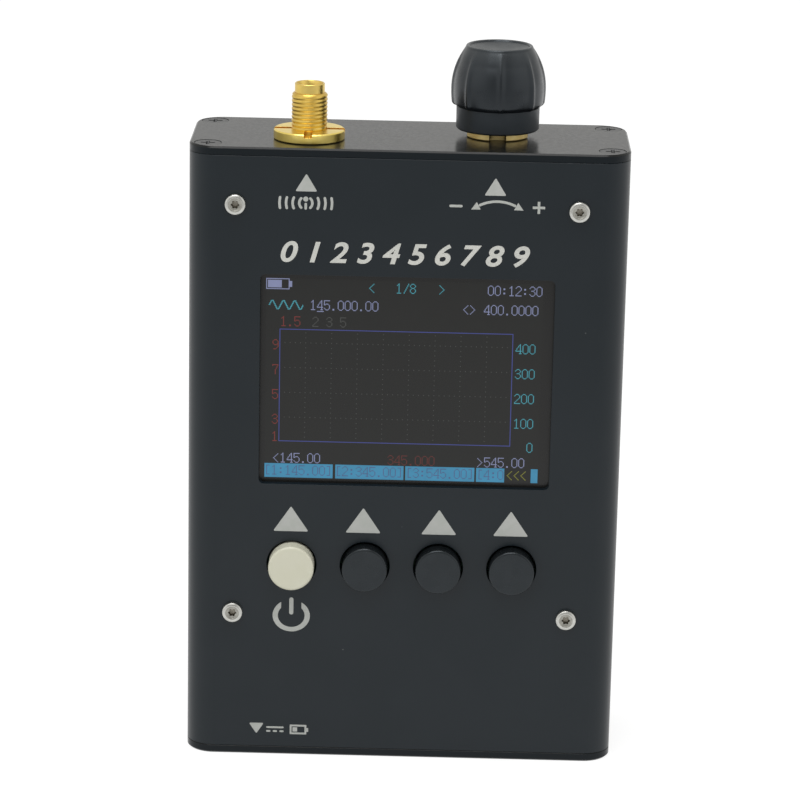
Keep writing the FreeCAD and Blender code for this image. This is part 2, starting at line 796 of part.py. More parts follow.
def grip_blank():
    """The grip before its flutes: a bellied dome with a dished top, hollow for the core."""
    foot = grip_foot_diameter / 2
    belly = grip_belly_diameter / 2
    shoulder = grip_shoulder_diameter / 2
    rim = grip_rim_diameter / 2
    core = knob_core_diameter / 2

    def point(radius, height):
        return FreeCAD.Vector(radius, 0, height)

    foot_point = point(foot, 0)
    belly_point = point(belly, grip_belly_height)
    rim_outer = point(rim, grip_height - grip_rim_radius)
    rim_inner = point(rim - 2 * grip_rim_radius, grip_height - grip_rim_radius)
    dish_centre = point(0, grip_height - grip_rim_radius - grip_dish_depth)
    dish_radius = (rim_inner.x ** 2 + grip_dish_depth ** 2) / (2 * grip_dish_depth)
    dish_middle_x = rim_inner.x / 2
    dish_middle_rise = dish_radius - math.sqrt(dish_radius ** 2 - dish_middle_x ** 2)
    foot_bend = point(foot + (belly - foot) * grip_foot_bend_share, grip_foot_bend_height)
    corners = [
        point(0, core_height), point(core, core_height), point(core, 0), foot_point,
    ]
    edges = [
        Part.Arc(foot_point, foot_bend, belly_point).toShape(),
        Part.Arc(belly_point, point(shoulder, grip_shoulder_height), rim_outer).toShape(),
        Part.Arc(rim_outer, point(rim - grip_rim_radius, grip_height), rim_inner).toShape(),
        Part.Arc(rim_inner, point(dish_middle_x, dish_centre.z + dish_middle_rise), dish_centre).toShape(),
        Part.LineSegment(dish_centre, corners[0]).toShape(),
    ]
    edges += [Part.LineSegment(a, b).toShape() for a, b in zip(corners, corners[1:])]
    profile = Part.Face(Part.Wire(Part.__sortEdges__(edges)))
    return profile.revolve(ORIGIN, UP, 360)


def flute_cutter():
    """A round bar that hollows one flute: upright up to the belly, then bent over with the dome.

    Its near side is the flute's floor, which lies flute_depth inside the belly and
    flute_top_depth inside the rim. The bar ends just under the rim, which stays a full circle.
    """
    belly_floor = grip_belly_diameter / 2 - flute_depth
    top_height = grip_height - grip_rim_radius - flute_top_margin
    rise = top_height - grip_belly_height
    inset = belly_floor - grip_rim_diameter / 2 + flute_top_depth
    floor_radius = (rise ** 2 + inset ** 2) / (2 * inset)
    bar_x = belly_floor + flute_hollow_radius
    foot = FreeCAD.Vector(bar_x, 0, -grip_belly_height)
    upright = Part.makeCylinder(flute_hollow_radius, 2 * grip_belly_height, foot)
    bend_centre = FreeCAD.Vector(belly_floor - floor_radius, 0, grip_belly_height)
    bend = Part.makeTorus(
        floor_radius + flute_hollow_radius, flute_hollow_radius, bend_centre, FreeCAD.Vector(0, 1, 0)
    )
    low = FreeCAD.Vector(0, -flute_hollow_radius, grip_belly_height)
    high = FreeCAD.Vector(bar_x + flute_hollow_radius, flute_hollow_radius, top_height)
    return upright.fuse(bend.common(block(low, high)))


def knob_grip():
    """The fluted grip: eight hollows with a ridge between each pair."""
    grip = grip_blank()
    cutter = flute_cutter()
    for step in range(flute_count):
        flute = cutter.copy()
        flute.rotate(ORIGIN, UP, flute_turn - 90 + 360 * step / flute_count)
        grip = grip.cut(flute)
    grip.translate(encoder_axis(grip_bottom_z))
    return grip


def shield_can():
    """A thin metal can over the radio part of the board."""
    low = at(jack_x - shield_width / 2, board_back_depth, shield_top_z - shield_height)
    high = at(jack_x + shield_width / 2, board_back_depth + shield_depth, shield_top_z)
    wall = FreeCAD.Vector(shield_wall, 0, shield_wall)
    hollow = block(low + wall, high - wall - BACKWARD * shield_wall)
    return block(low, high).cut(hollow)


def processor():
    """The processor's flat package."""
    half = processor_size / 2
    low = at(processor_x - half, board_back_depth, processor_z - half)
    return block(low, at(processor_x + half, board_back_depth + processor_thickness, processor_z + half))


def battery_socket():
    """The open-topped connector for the battery's lead."""
    half_x = battery_socket_width / 2
    half_z = battery_socket_height / 2
    low = at(battery_socket_x - half_x, board_back_depth, battery_socket_z - half_z)
    high = at(battery_socket_x + half_x, board_back_depth + battery_socket_depth, battery_socket_z + half_z)
    wall = FreeCAD.Vector(battery_socket_wall, battery_socket_wall, battery_socket_wall)
    opening = block(low + wall, high - wall + BACKWARD * 2 * battery_socket_wall)
    return block(low, high).cut(opening)


def battery_pack():
    """A flat pouch cell with round long edges."""
    low = at(-battery_width / 2, battery_back_depth - battery_thickness, battery_z - battery_height / 2)
    high = at(battery_width / 2, battery_back_depth, battery_z + battery_height / 2)
    return rounded(block(low, high), battery_edge_radius, UP)


def battery_pad():
    """The foam pad that holds the battery to the back wall."""
    half_x = battery_width / 2 - battery_pad_margin
    half_z = battery_height / 2 - battery_pad_margin
    low = at(-half_x, battery_back_depth, battery_z - half_z)
    return block(low, at(half_x, case_depth - case_wall, battery_z + half_z))


def charge_socket():
    """The charge socket's metal shell, open below and closed above by its insulator."""
    top_z = charge_recess + charge_length
    shell = charge_outline(0, charge_recess, top_z)
    return shell.cut(charge_outline(-charge_wall, charge_recess, top_z))


def charge_tongue():
    """The insulator that closes the shell's top and carries the contact tongue."""
    top_z = charge_recess + charge_length
    plug = charge_outline(-charge_wall, top_z - charge_plug_length, top_z)
    middle = board_back_depth + charge_thickness / 2
    low = at(charge_x - charge_tongue_width / 2, middle - charge_tongue_thickness / 2,
             charge_recess + charge_tongue_setback)
    high = at(charge_x + charge_tongue_width / 2, middle + charge_tongue_thickness / 2, top_z)
    return plug.fuse(block(low, high)).removeSplitter()


os.makedirs("parts", exist_ok=True)

save("case_body", case_body())
save("top_end_plate", top_end_plate())
save("bottom_end_plate", bottom_end_plate())
screw = countersunk_screw()
save("top_plate_screws", *[placed(screw, point, UP) for point in plate_screw_points(case_height)])
save("bottom_plate_screws", *[placed(screw, point, DOWN) for point in plate_screw_points(0)])
front_screw = button_head_screw()
save("front_screws", *[placed(front_screw, point, FORWARD) for point in front_screw_points(0)])
save("board_standoffs", *[standoff(point) for point in front_screw_points(case_wall)])
board_screw = pan_head_screw()
board_screw_points = front_screw_points(board_back_depth)
save("board_screws", *[placed(board_screw, point, BACKWARD) for point in board_screw_points])
save("main_board", main_board())

save("lcd_panel", panel_block(0, case_wall, frame_floor_depth))
save("lcd_frame", display_frame())
save("lcd_foam_pads", *foam_pads())
save("lcd_flex", display_flex())
save("flex_connector", flex_connector())

for index, name in enumerate(button_names):
    x = button_x(index)
    save(f"{name}_cap", button_cap(x))
    save(f"{name}_plunger", plunger(x))
    save(f"{name}_switch", switch_body(x))

save("jack_body", jack_body())
save("jack_insulator", jack_insulator())
save("jack_contact", jack_contact())
save("jack_nut", jack_nut())

save("encoder_housing", encoder_housing())
save("encoder_bushing", encoder_bushing())
save("encoder_rotor", encoder_rotor())
save("encoder_shaft", encoder_shaft())
save("encoder_nut", encoder_nut())
save("knob_core", knob_core())
save("knob_grip", knob_grip())

save("shield_can", shield_can())
save("processor", processor())
save("battery_socket", battery_socket())
save("battery_pack", battery_pack())
save("battery_pad", battery_pad())
save("charge_socket", charge_socket())
save("charge_tongue", charge_tongue())
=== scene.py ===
import json
import math
import bmesh
import bpy
from mathutils import Matrix, Vector

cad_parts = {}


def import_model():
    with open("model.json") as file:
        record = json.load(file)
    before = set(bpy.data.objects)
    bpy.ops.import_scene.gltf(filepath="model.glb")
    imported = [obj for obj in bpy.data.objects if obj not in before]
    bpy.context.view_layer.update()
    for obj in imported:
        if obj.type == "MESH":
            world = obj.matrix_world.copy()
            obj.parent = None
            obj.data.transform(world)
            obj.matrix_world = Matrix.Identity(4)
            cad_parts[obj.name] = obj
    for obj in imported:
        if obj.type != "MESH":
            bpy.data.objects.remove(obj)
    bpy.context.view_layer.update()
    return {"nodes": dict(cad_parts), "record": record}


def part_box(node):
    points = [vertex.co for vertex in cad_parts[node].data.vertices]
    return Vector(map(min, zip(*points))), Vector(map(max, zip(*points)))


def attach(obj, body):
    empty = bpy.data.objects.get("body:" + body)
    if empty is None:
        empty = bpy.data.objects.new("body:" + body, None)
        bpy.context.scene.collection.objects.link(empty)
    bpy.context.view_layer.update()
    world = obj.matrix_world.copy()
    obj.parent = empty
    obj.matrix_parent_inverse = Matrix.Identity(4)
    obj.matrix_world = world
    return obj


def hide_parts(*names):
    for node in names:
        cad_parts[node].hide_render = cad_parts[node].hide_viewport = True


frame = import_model()

# Lengths below are in millimetres, in the CAD model's own frame: +Z up, the front faces -Y.
MM = 0.001

# Camera, solved from the case's edges
CAMERA_PLACE = (5.953, -612.371, 237.139)
CAMERA_YAW = math.radians(-0.651)
CAMERA_PITCH = math.radians(-15.782)
CAMERA_ROLL = math.radians(1.175)
CAMERA_LENS = 157.565
CAMERA_NEAREST = 50
CAMERA_FARTHEST = 20000
SENSOR_WIDTH = 36.0

# Studio: levels of light, which change over the given parts of the direction's X and Y
STUDIO_COLOUR = (1.0, 0.995, 0.975, 1.0)
STUDIO_FRONT = 0.45
STUDIO_SIDES = 1.1
STUDIO_BACK = 0.82
STUDIO_SIDE_RANGE = (0.2, 0.8)
STUDIO_BACK_RANGE = (-0.4, 0.4)
FLOOR_HALF_WIDTH = 4000
FLOOR_COLOUR = (0.7, 0.7, 0.69, 1)
FLOOR_SEEN_COLOUR = (0.25, 0.25, 0.25, 1)
FLOOR_GLOW = 0.82
FLOOR_FRONT_GLOW = 0.45
FLOOR_BRIGHT_REACH = 120
FLOOR_DIM_REACH = 500

# Lamps: place, side and watts
LAMPS = {
    "key_lamp": ((-200, -650, 800), 600, 1.3),
    "top_lamp": ((-60, -160, 750), 450, 2.6),
}
LAMP_TARGET = (0, 0, 60)

# Finishes
NOISE_DETAIL = 3.0
COOL_TINT = (0.84, 0.93, 1.0, 1.0)

# Print on the front face
INK_THICKNESS = 0.02
INK_CORNER = 0.15
MARKER_WIDTH = 6.35
MARKER_HEIGHT = 4.7
MARKER_BASE_Z = 42.9
MARKER_X = (-20.0, -7.0, 6.6, 19.5)
SMALL_MARKER_WIDTH = 3.85
SMALL_MARKER_HEIGHT = 3.18
SMALL_MARKER_BASE_Z = 105.37
JACK_MARKER_X = -17.98
KNOB_MARKER_X = 15.1
CHARGE_MARKER_X = -25.88
CHARGE_MARKER_Z = 6.0
CHARGE_MARKER_WIDTH = 2.71
CHARGE_MARKER_HEIGHT = 2.05
POWER_X = -19.74
POWER_Z = 26.87
POWER_RADIUS = 2.9
POWER_STROKE = 0.95
POWER_SQUASH = 0.9
POWER_GAP = 1.84
POWER_BAR_STROKE = 0.76
POWER_BAR_LOW = 27.45
POWER_BAR_HIGH = 29.95
SIGN_STROKE = 0.45
SIGN_HEIGHT = 2.35
AERIAL_X = -18.05
AERIAL_BASE_Z = 102.1
AERIAL_WAVES = 4
AERIAL_WAVE_STEP = 1.15
AERIAL_WAVE_SINE = 0.72
TURN_X = 15.5
TURN_BASE_Z = 102.2
TURN_HALF_WIDTH = 8.2
TURN_ARROW_RADIUS = 7.0
TURN_ARROW_REACH = math.radians(26)
TURN_HEAD_SIZE = 1.5
MINUS_WIDTH = 1.88
PLUS_INSET = 0.94
PLUS_REACH = 1.081
SUPPLY_X = -23.9
SUPPLY_BASE_Z = 3.95
SUPPLY_HEIGHT = 1.85
SUPPLY_STROKE = 0.34
SUPPLY_LINE_RISE = 1.258
SUPPLY_DASH_RISE = 0.518
SUPPLY_DASHES = 3
DASH_STEP = 1.2
DASH_GAP = 0.75
BATTERY_GAP = 0.7
BATTERY_WIDTH = 2.7
TITLE_TEXT = "0 1 2 3 4 5 6 7 8 9"
TITLE_X = -22.35
TITLE_Z = 92.55
TITLE_WIDTH = 43.8
TITLE_HEIGHT = 3.9
TITLE_SLANT = 0.25
TITLE_WEIGHT = 0.022
CORNER_STEPS = 4
STROKE_END_STEPS = 8

# Display: places on it are columns and rows of dots, from its top left corner
DOT = 0.153
SCREEN_LEFT = -24.92
SCREEN_TOP = 89.27
SCREEN_COLUMNS = 320
SCREEN_ROWS = 240
SCREEN_LAYER = 0.01

# Screws
SCREW_COLUMNS = 72
SCREW_EDGE = 0.06
FRONT_HEAD_RADIUS = 1.85
FRONT_THREAD_RADIUS = 1.0
FRONT_RIM_RADIUS = 1.24
FRONT_RIM_TILT = math.radians(42)
FRONT_RIM_STEPS = 8
FRONT_SIDE_SLOPE = 0.06
FRONT_SINK_RADIUS = 0.9
FRONT_SINK_DEPTH = 0.2
FRONT_RECESS_DEPTH = 0.8
FRONT_RECESS_TAPER = 0.9
LOBE_MEAN = 0.64
LOBE_SWING = 0.1
PLATE_HEAD_RADIUS = 2.4
PLATE_HEAD_EDGE = 0.12
PLATE_HEAD_SUNK = 0.04
PLATE_THREAD_RADIUS = 1.25
PLATE_RECESS_DEPTH = 1.0
PLATE_RECESS_TAPER = 0.6
CROSS_ARM = 1.25
CROSS_HALF_WIDTH = 0.3

# Jack: thread of 36 turns to the inch, and the parts of its body
THREAD_PITCH = 25.4 / 36
THREAD_DEPTH = 0.15
THREAD_FULLNESS = 0.6
THREAD_ROWS_PER_TURN = 14
JACK_COLUMNS = 96
JACK_SHANK_STEP = 0.25
JACK_NOSE_WALL = 0.35
JACK_NOSE_LENGTH = 1.7
JACK_CHAMFER = 0.35
JACK_EDGE = 0.12
JACK_LEG_LENGTH = 4.0
JACK_LEG_SIZE = 1.0
JACK_LEG_INSET = 1.2

# Knob grip: radii and heights over its foot
GRIP_BORE = 5.6
GRIP_FOOT = 7.62
GRIP_FOOT_BEND = (8.08, 0.3)
GRIP_FOOT_TOP = (8.3, 0.85)
GRIP_WAIST = (8.39, 1.9)
GRIP_BELLY = (8.42, 3.0)
GRIP_SHOULDER = (7.74, 7.2)
GRIP_RIM = 5.97
GRIP_RIM_RADIUS = 0.35
GRIP_DISH_DEPTH = 0.9
GRIP_RIDGES = 8
GRIP_RIDGE_TURN = math.radians(2)
GRIP_RIDGE_HEIGHT = 0.35
GRIP_RIDGE_HALF_WIDTH = 0.5
GRIP_RIDGE_FADE = 2.6
GRIP_COLUMNS = 160


def srgb(colour):
    """A linear colour from three 8-bit sRGB values."""
    linear = []
    for value in colour:
        value /= 255
        linear.append(value / 12.92 if value <= 0.04045 else ((value + 0.055) / 1.055) ** 2.4)
    return (*linear, 1.0)


def box_mm(node):
    """A CAD node's lowest and highest corners in millimetres."""
    low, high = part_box(node)
    return low / MM, high / MM


def box_centre(node):
    """The middle of a CAD node's box in millimetres."""
    low, high = box_mm(node)
    return (low + high) / 2


# ---- materials

def fill(tree, socket, value):
    """Give a socket a plain value, or link another socket to it."""
    if hasattr(value, "links"):
        tree.links.new(value, socket)
    else:
        socket.default_value = value


def add_node(tree, kind, *sources, **values):
    """A new shader node. The sources go to its first inputs and the values to inputs of their names."""
    node = tree.nodes.new("ShaderNode" + kind)
    for source, socket in zip(sources, node.inputs):
        fill(tree, socket, source)
    for name, value in values.items():
        fill(tree, node.inputs[name.replace("_", " ")], value)
    return node


def smooth_range(tree, value, low, high, from_low, from_high):
    """A value mapped smoothly from one range onto another, whose limits are numbers or sockets."""
    node = add_node(tree, "MapRange", value, From_Min=from_low, From_Max=from_high, To_Min=low, To_Max=high)
    node.interpolation_type = "SMOOTHSTEP"
    return node.outputs["Result"]


class Finish:
    """A material with a Principled shader and helpers that add detail. Its colours are 8-bit sRGB values."""

    def __init__(self, name, colour, roughness, metallic=0.0, **sockets):
        self.material = bpy.data.materials.new(name)
        self.material.use_nodes = True
        self.tree = self.material.node_tree
        self.shader = self.tree.nodes["Principled BSDF"]
        self.shader.inputs["Base Color"].default_value = srgb(colour)
        self.shader.inputs["Roughness"].default_value = roughness
        self.shader.inputs["Metallic"].default_value = metallic
        for socket, value in sockets.items():
            self.shader.inputs[socket.replace("_", " ")].default_value = value
        self.coordinates = add_node(self.tree, "TexCoord").outputs["Object"]
        self.material.diffuse_color = srgb(colour)

    def noise(self, size, stretch=None):
        """A noise value whose features are about size millimetres, drawn out along an axis by stretch."""
        source = self.coordinates
        if stretch:
            scale = [1.0 / share for share in stretch]
            source = add_node(self.tree, "Mapping", source, Scale=scale).outputs["Vector"]
        texture = add_node(self.tree, "TexNoise", source, Scale=1.0 / (size * MM), Detail=NOISE_DETAIL)
        return texture.outputs["Fac"]

    def ramp(self, value, low, high, from_low=0.35, from_high=0.65):
        """A value mapped smoothly onto a range."""
        return smooth_range(self.tree, value, low, high, from_low, from_high)

    def blend(self, value, colour_a, colour_b):
        """Two colours, or sockets that carry one, mixed by a value."""
        node = add_node(self.tree, "Mix", value)
        node.data_type = "RGBA"
        sockets = [s for s in node.inputs if s.type == "RGBA"]
        for socket, colour in zip(sockets, (colour_a, colour_b)):
            fill(self.tree, socket, srgb(colour) if isinstance(colour, tuple) else colour)
        return next(s for s in node.outputs if s.type == "RGBA")

    def levelness(self):
        """One on level faces and zero on upright ones."""
        normal = add_node(self.tree, "NewGeometry").outputs["Normal"]
        parts = add_node(self.tree, "SeparateXYZ", normal)
        return self.ramp(parts.outputs["Z"], 0, 1, 0.2, 0.8)

    def set(self, socket, value):
        """Link a value or colour to one of the shader's sockets."""
        self.tree.links.new(value, self.shader.inputs[socket])
        return self

    def patches(self, colour_a, colour_b, size):
        """Two colours in soft patches."""
        return self.blend(self.ramp(self.noise(size), 0, 1), colour_a, colour_b)

    def mottle(self, colour_a, colour_b, size):
        """Uneven base colour in soft patches."""
        return self.set("Base Color", self.patches(colour_a, colour_b, size))

    def polish(self, low, high, size, stretch=None):
        """Uneven gloss in soft patches."""
        return self.set("Roughness", self.ramp(self.noise(size, stretch), low, high))

    def painted_recess_shade(self, base, colour, reach, closed=0.25, opened=0.85):
        """Painted shade: a base colour that darkens in corners and recesses narrower than reach millimetres.

        The darkest colour shows where less than the closed share of the surroundings is open,
        and the plain base where more than the opened share is.
        """
        corner = add_node(self.tree, "AmbientOcclusion", Distance=reach * MM)
        corner.samples = 8
        corner.only_local = True
        open_share = self.ramp(corner.outputs["AO"], 0, 1, closed, opened)
        return self.set("Base Color", self.blend(open_share, colour, base))

    def surface(self, height, size, edge=0.0, stretch=None):
        """Fine relief of a height in millimetres, on edges rounded by a radius in millimetres."""
        bump = add_node(self.tree, "Bump", Distance=height * MM, Height=self.noise(size, stretch))
        if edge:
            bevel = add_node(self.tree, "Bevel", Radius=edge * MM)
            bevel.samples = 6
            self.tree.links.new(bevel.outputs["Normal"], bump.inputs["Normal"])
        return self.set("Normal", bump.outputs["Normal"])

    def specks(self, base, colour, spacing, size):
        """Sparse round specks of dust over a base colour."""
        cells = add_node(self.tree, "TexVoronoi", self.coordinates, Scale=1.0 / (spacing * MM))
        reach = size / spacing / 2
        spot = self.ramp(cells.outputs["Distance"], 1, 0, reach * 0.4, reach)
        return self.set("Base Color", self.blend(spot, base, colour))


def anodised_case():
    """Black satin anodising over bead-blasted aluminium, with a little dust."""
    finish = Finish("anodised_case", (17, 26, 32), 0.33, Specular_IOR_Level=0.33)
    base = finish.patches((15, 25, 31), (18, 27, 33), 14.0)
    finish.specks(base, (95, 98, 98), 6.5, 0.3)
    finish.polish(0.31, 0.35, 0.5)
    return finish.surface(0.004, 0.12, edge=0.12).material


def anodised_plate():
    """The end plates' black anodising, smoother than the case's, but as bluish on upright faces."""
    finish = Finish("anodised_plate", (21, 22, 22), 0.22, Specular_IOR_Level=0.2)
    level = finish.patches((19, 20, 20), (23, 24, 24), 9.0)
    base = finish.blend(finish.levelness(), (12, 20, 25), level)
    finish.specks(base, (95, 98, 98), 5.5, 0.25)
    finish.polish(0.2, 0.25, 0.6)
    return finish.surface(0.003, 0.12, edge=0.08).material


def black_screw():
    """Black oxide, with painted shade that darkens the recess."""
    finish = Finish("black_screw", (24, 26, 28), 0.34, Specular_IOR_Level=0.4)
    finish.painted_recess_shade(finish.patches((24, 26, 28), (32, 33, 34), 0.8), (6, 6, 6), 0.5)
    return finish.surface(0.004, 0.2, edge=0.06).material


def steel_screw():
    """Plain stainless steel, with painted shade that greys the recess."""
    finish = Finish("steel_screw", (194, 194, 189), 0.3, 1.0)
    finish.painted_recess_shade(finish.patches((188, 188, 183), (198, 198, 193), 0.6), (78, 72, 63), 0.8)
    finish.polish(0.26, 0.34, 0.5)
    return finish.surface(0.001, 0.15, edge=0.1).material


def struck_dish_steel_and_shade():
    """The duller struck dish of a screw's head, darker partly from being struck and partly as painted shade,
    with painted shade in its recess.
    """
    finish = Finish("struck_dish_steel_and_shade", (160, 159, 152), 0.42, 1.0)
    base = finish.patches((150, 149, 142), (168, 167, 160), 0.5)
    finish.painted_recess_shade(base, (112, 103, 88), 0.9, 0.2, 0.8)
    finish.polish(0.38, 0.48, 0.4)
    return finish.surface(0.002, 0.15, edge=0.06).material


def gold_plate(name, colour_a, colour_b, painted_shade_colour, edge):
    """Gold plating, very slightly uneven, with painted shade that deepens its colour where it faces itself.
    """
    finish = Finish(name, colour_a, 0.3, 1.0)
    finish.painted_recess_shade(finish.patches(colour_a, colour_b, 1.5), painted_shade_colour, 2.6, 0.2, 0.95)
    finish.polish(0.28, 0.33, 0.8)
    return finish.surface(0.0004, 0.25, edge=edge).material


def brass_turned():
    """Turned brass with fine marks round it and painted shade in its recesses."""
    finish = Finish("brass_turned", (214, 190, 112), 0.26, 1.0)
    base = finish.patches((247, 220, 148), (252, 228, 160), 1.0)
    finish.painted_recess_shade(base, (22, 17, 10), 2.6, 0.58, 0.84)
    finish.polish(0.42, 0.5, 0.6, stretch=(6, 6, 1))
    return finish.surface(0.001, 0.1, edge=0.08, stretch=(8, 8, 1)).material


def white_insulator():
    finish = Finish("white_insulator", (236, 233, 224), 0.42, Subsurface_Weight=0.1)
    finish.mottle((230, 227, 216), (240, 238, 230), 0.8)
    return finish.surface(0.003, 0.1).material


def board_laminate():
    """Green solder mask, slightly wavy."""
    finish = Finish("board_laminate", (24, 84, 48), 0.3, Coat_Weight=0.3)
    finish.mottle((20, 76, 42), (30, 94, 55), 2.0)
    return finish.surface(0.01, 0.5, edge=0.08).material


def display_glass():
    """The dark, slightly matt front of the display."""
    finish = Finish("display_glass", (18, 18, 17), 0.3, Specular_IOR_Level=0.4)
    finish.mottle((17, 17, 16), (20, 20, 19), 12.0)
    finish.polish(0.26, 0.3, 6.0)
    return finish.surface(0.002, 0.1).material


def moulded(name, colour_a, colour_b, roughness, grain, edge, specular=0.5, tint=(1, 1, 1, 1)):
    """Moulded plastic: soft colour patches, fine grain and slightly rounded edges."""
    finish = Finish(name, colour_a, roughness, Specular_IOR_Level=specular, Specular_Tint=tint)
    finish.mottle(colour_a, colour_b, 4.0)
    finish.polish(roughness - 0.05, roughness + 0.06, 2.5)
    return finish.surface(grain, 0.12, edge=edge).material


def knob_grip():
    """The grip's black plastic, with soft ridges and a lighter colour where it is level."""
    finish = Finish("knob_grip", (14, 17, 21), 0.3, Specular_IOR_Level=0.5, Specular_Tint=COOL_TINT)
    level_tone = finish.patches((48, 50, 51), (54, 56, 57), 1.2)
    base = finish.patches((14, 17, 21), (17, 20, 24), 4.0)
    finish.set("Base Color", finish.blend(finish.levelness(), base, level_tone))
    finish.polish(0.27, 0.33, 2.5)
    return finish.surface(0.002, 0.12, edge=0.3).material


def foam():
    finish = Finish("foam", (58, 58, 60), 0.9)
    finish.mottle((48, 48, 50), (72, 72, 74), 0.4)
    return finish.surface(0.12, 0.35).material


def flex_film():
    finish = Finish("flex_film", (176, 112, 40), 0.28, Coat_Weight=0.4)
    finish.mottle((164, 98, 32), (190, 126, 50), 1.5)
    return finish.surface(0.004, 0.4).material


def cast_metal(name, colour_a, colour_b, roughness):
    """Cast, turned or rolled metal with a soft sheen."""
    finish = Finish(name, colour_a, roughness, 1.0)
    finish.mottle(colour_a, colour_b, 1.2)
    finish.polish(roughness - 0.06, roughness + 0.1, 0.8)
    return finish.surface(0.004, 0.2, edge=0.08).material


def battery_wrap():
    """Crinkled laminate foil round the cell."""
    finish = Finish("battery_wrap", (160, 163, 168), 0.35, 0.6)
    finish.mottle((150, 153, 158), (172, 175, 180), 3.0)
    return finish.surface(0.06, 2.5, edge=0.2).material


def cream_cap():
    """The cream cap: smooth plastic with a soft gloss and a rounded edge."""
    finish = Finish("cream_cap", (205, 204, 186), 0.32)
    finish.mottle((204, 203, 184), (206, 205, 187), 3.0)
    finish.polish(0.3, 0.34, 2.0)
    return finish.surface(0.001, 0.2, edge=0.35).material


def printed_ink(name, colour_a, colour_b):
    """Light grey silk-screen ink with a slightly uneven coat."""
    finish = Finish(name, colour_a, 0.6)
    finish.mottle(colour_a, colour_b, 1.6)
    return finish.surface(0.006, 0.1).material


def lit_dots(name, colour):
    """Display dots of one colour, which glow a little unevenly behind the matt front."""
    finish = Finish(name, (10, 10, 10), 0.3, Specular_IOR_Level=0.4, Emission_Color=srgb(colour))
    return finish.set("Emission Strength", finish.ramp(finish.noise(3.0), 0.9, 1.0)).material


# Moulded plastics: two colours, roughness, grain, edge radius, and for some their gloss and its tint
PLASTICS = {
    "frame_plastic": ((222, 222, 218), (230, 230, 226), 0.45, 0.003, 0.1),
    "connector_plastic": ((34, 34, 35), (42, 42, 43), 0.5, 0.005, 0.08),
    "switch_plastic": ((30, 30, 31), (38, 38, 39), 0.45, 0.004, 0.08),
    "knob_plastic": ((31, 35, 39), (34, 38, 42), 0.4, 0.004, 0.12, 0.36, COOL_TINT),
    "chip_epoxy": ((30, 30, 31), (36, 36, 37), 0.6, 0.006, 0.05),
    "black_cap": ((15, 18, 20), (18, 21, 23), 0.26, 0.002, 0.2, 0.45, COOL_TINT),
}

# Plain metals: two colours and roughness
METALS = {
    "cast_bushing": ((176, 176, 174), (190, 190, 188), 0.36),
    "bright_shaft": ((196, 196, 195), (208, 208, 206), 0.25),
    "tinned_steel": ((188, 188, 186), (202, 202, 200), 0.3),
}

# Gold plating: two colours, a darker one painted in as shade where the gold faces itself, and the edge
# radius. The nut's copy is lighter and the thread's darker than the plate's, as painted light and painted
# shade.
GOLDS = {
    "gold_plate": ((220, 190, 103), (226, 198, 113), (198, 146, 56), 0.05),
    "nut_gold_painted_light": ((240, 214, 116), (246, 222, 128), (220, 162, 68), 0.05),
    "thread_gold_painted_shade": ((212, 178, 88), (220, 188, 98), (190, 136, 50), 0.4),
}

# Inks: two colours
INKS = {
    "printed_ink": ((171, 174, 170), (176, 178, 175)),
    "title_ink": ((194, 195, 190), (201, 201, 196)),
}

# Every material slot of the record has its finish here, and a few pieces have one of their own
finishes = {make.__name__: make() for make in (
    anodised_case, anodised_plate, black_screw, steel_screw, struck_dish_steel_and_shade, brass_turned, white_insulator,
    board_laminate, display_glass, knob_grip, foam, flex_film, battery_wrap, cream_cap,
)}
for make, group in ((moulded, PLASTICS), (cast_metal, METALS), (gold_plate, GOLDS), (printed_ink, INKS)):
    for name, values in group.items():
        finishes[name] = make(name, *values)

for subpart in frame["record"]["subparts"]:
    mesh = frame["nodes"][subpart["node"]].data
    mesh.materials.clear()
    mesh.materials.append(finishes[subpart["material_slot"]])
# The jack's nut takes the lighter copy of the gold, whose extra lightness is painted light
for node, finish_name in (
    ("jack_nut", "nut_gold_painted_light"), ("top_end_plate", "anodised_plate"), ("bottom_end_plate", "anodised_plate"),
):
    frame["nodes"][node].data.materials[0] = finishes[finish_name]


# ---- mesh helpers

def new_object(name, data):
    """A new object in the scene."""
    made = bpy.data.objects.new(name, data)
    bpy.context.scene.collection.objects.link(made)
    return made


def piece(name, bm, material, body="case", sharp=30, turn_faces=True):
    """A finished piece from a bmesh in millimetres, riding on a body, with edges sharp from an angle."""
    if turn_faces:
        bmesh.ops.recalc_face_normals(bm, faces=bm.faces)
    bmesh.ops.scale(bm, vec=(MM, MM, MM), verts=bm.verts)
    mesh = bpy.data.meshes.new(name)
    bm.to_mesh(mesh)
    bm.free()
    mesh.materials.append(material)
    mesh.shade_smooth()
    mesh.set_sharp_from_angle(angle=math.radians(sharp))
    made = new_object(name, mesh)
    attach(made, body)
    return made


def add_rings(bm, rings, closed=False):
    """Faces between rings of points, each ring closed, with caps at both ends unless closed on itself."""
    loops = [[bm.verts.new(point) for point in ring] for ring in rings]
    pairs = list(zip(loops, loops[1:]))
    if closed:
        pairs.append((loops[-1], loops[0]))
    for lower, upper in pairs:
        for i in range(len(lower)):
            j = (i + 1) % len(lower)
            bm.faces.new((lower[i], lower[j], upper[j], upper[i]))
    if not closed:
        bm.faces.new(loops[0][::-1])
        bm.faces.new(loops[-1])


def circle_angles(columns):
    """Evenly spaced angles round a full turn."""
    return [2 * math.pi * column / columns for column in range(columns)]


def round_ring(axis, radius, z, angles):
    """Points round an upright axis, at a radius that is a number or a function of the angle."""
    radii = [radius(a) if callable(radius) else radius for a in angles]
    return [(axis.x + r * math.cos(a), axis.y + r * math.sin(a), z) for r, a in zip(radii, angles)]


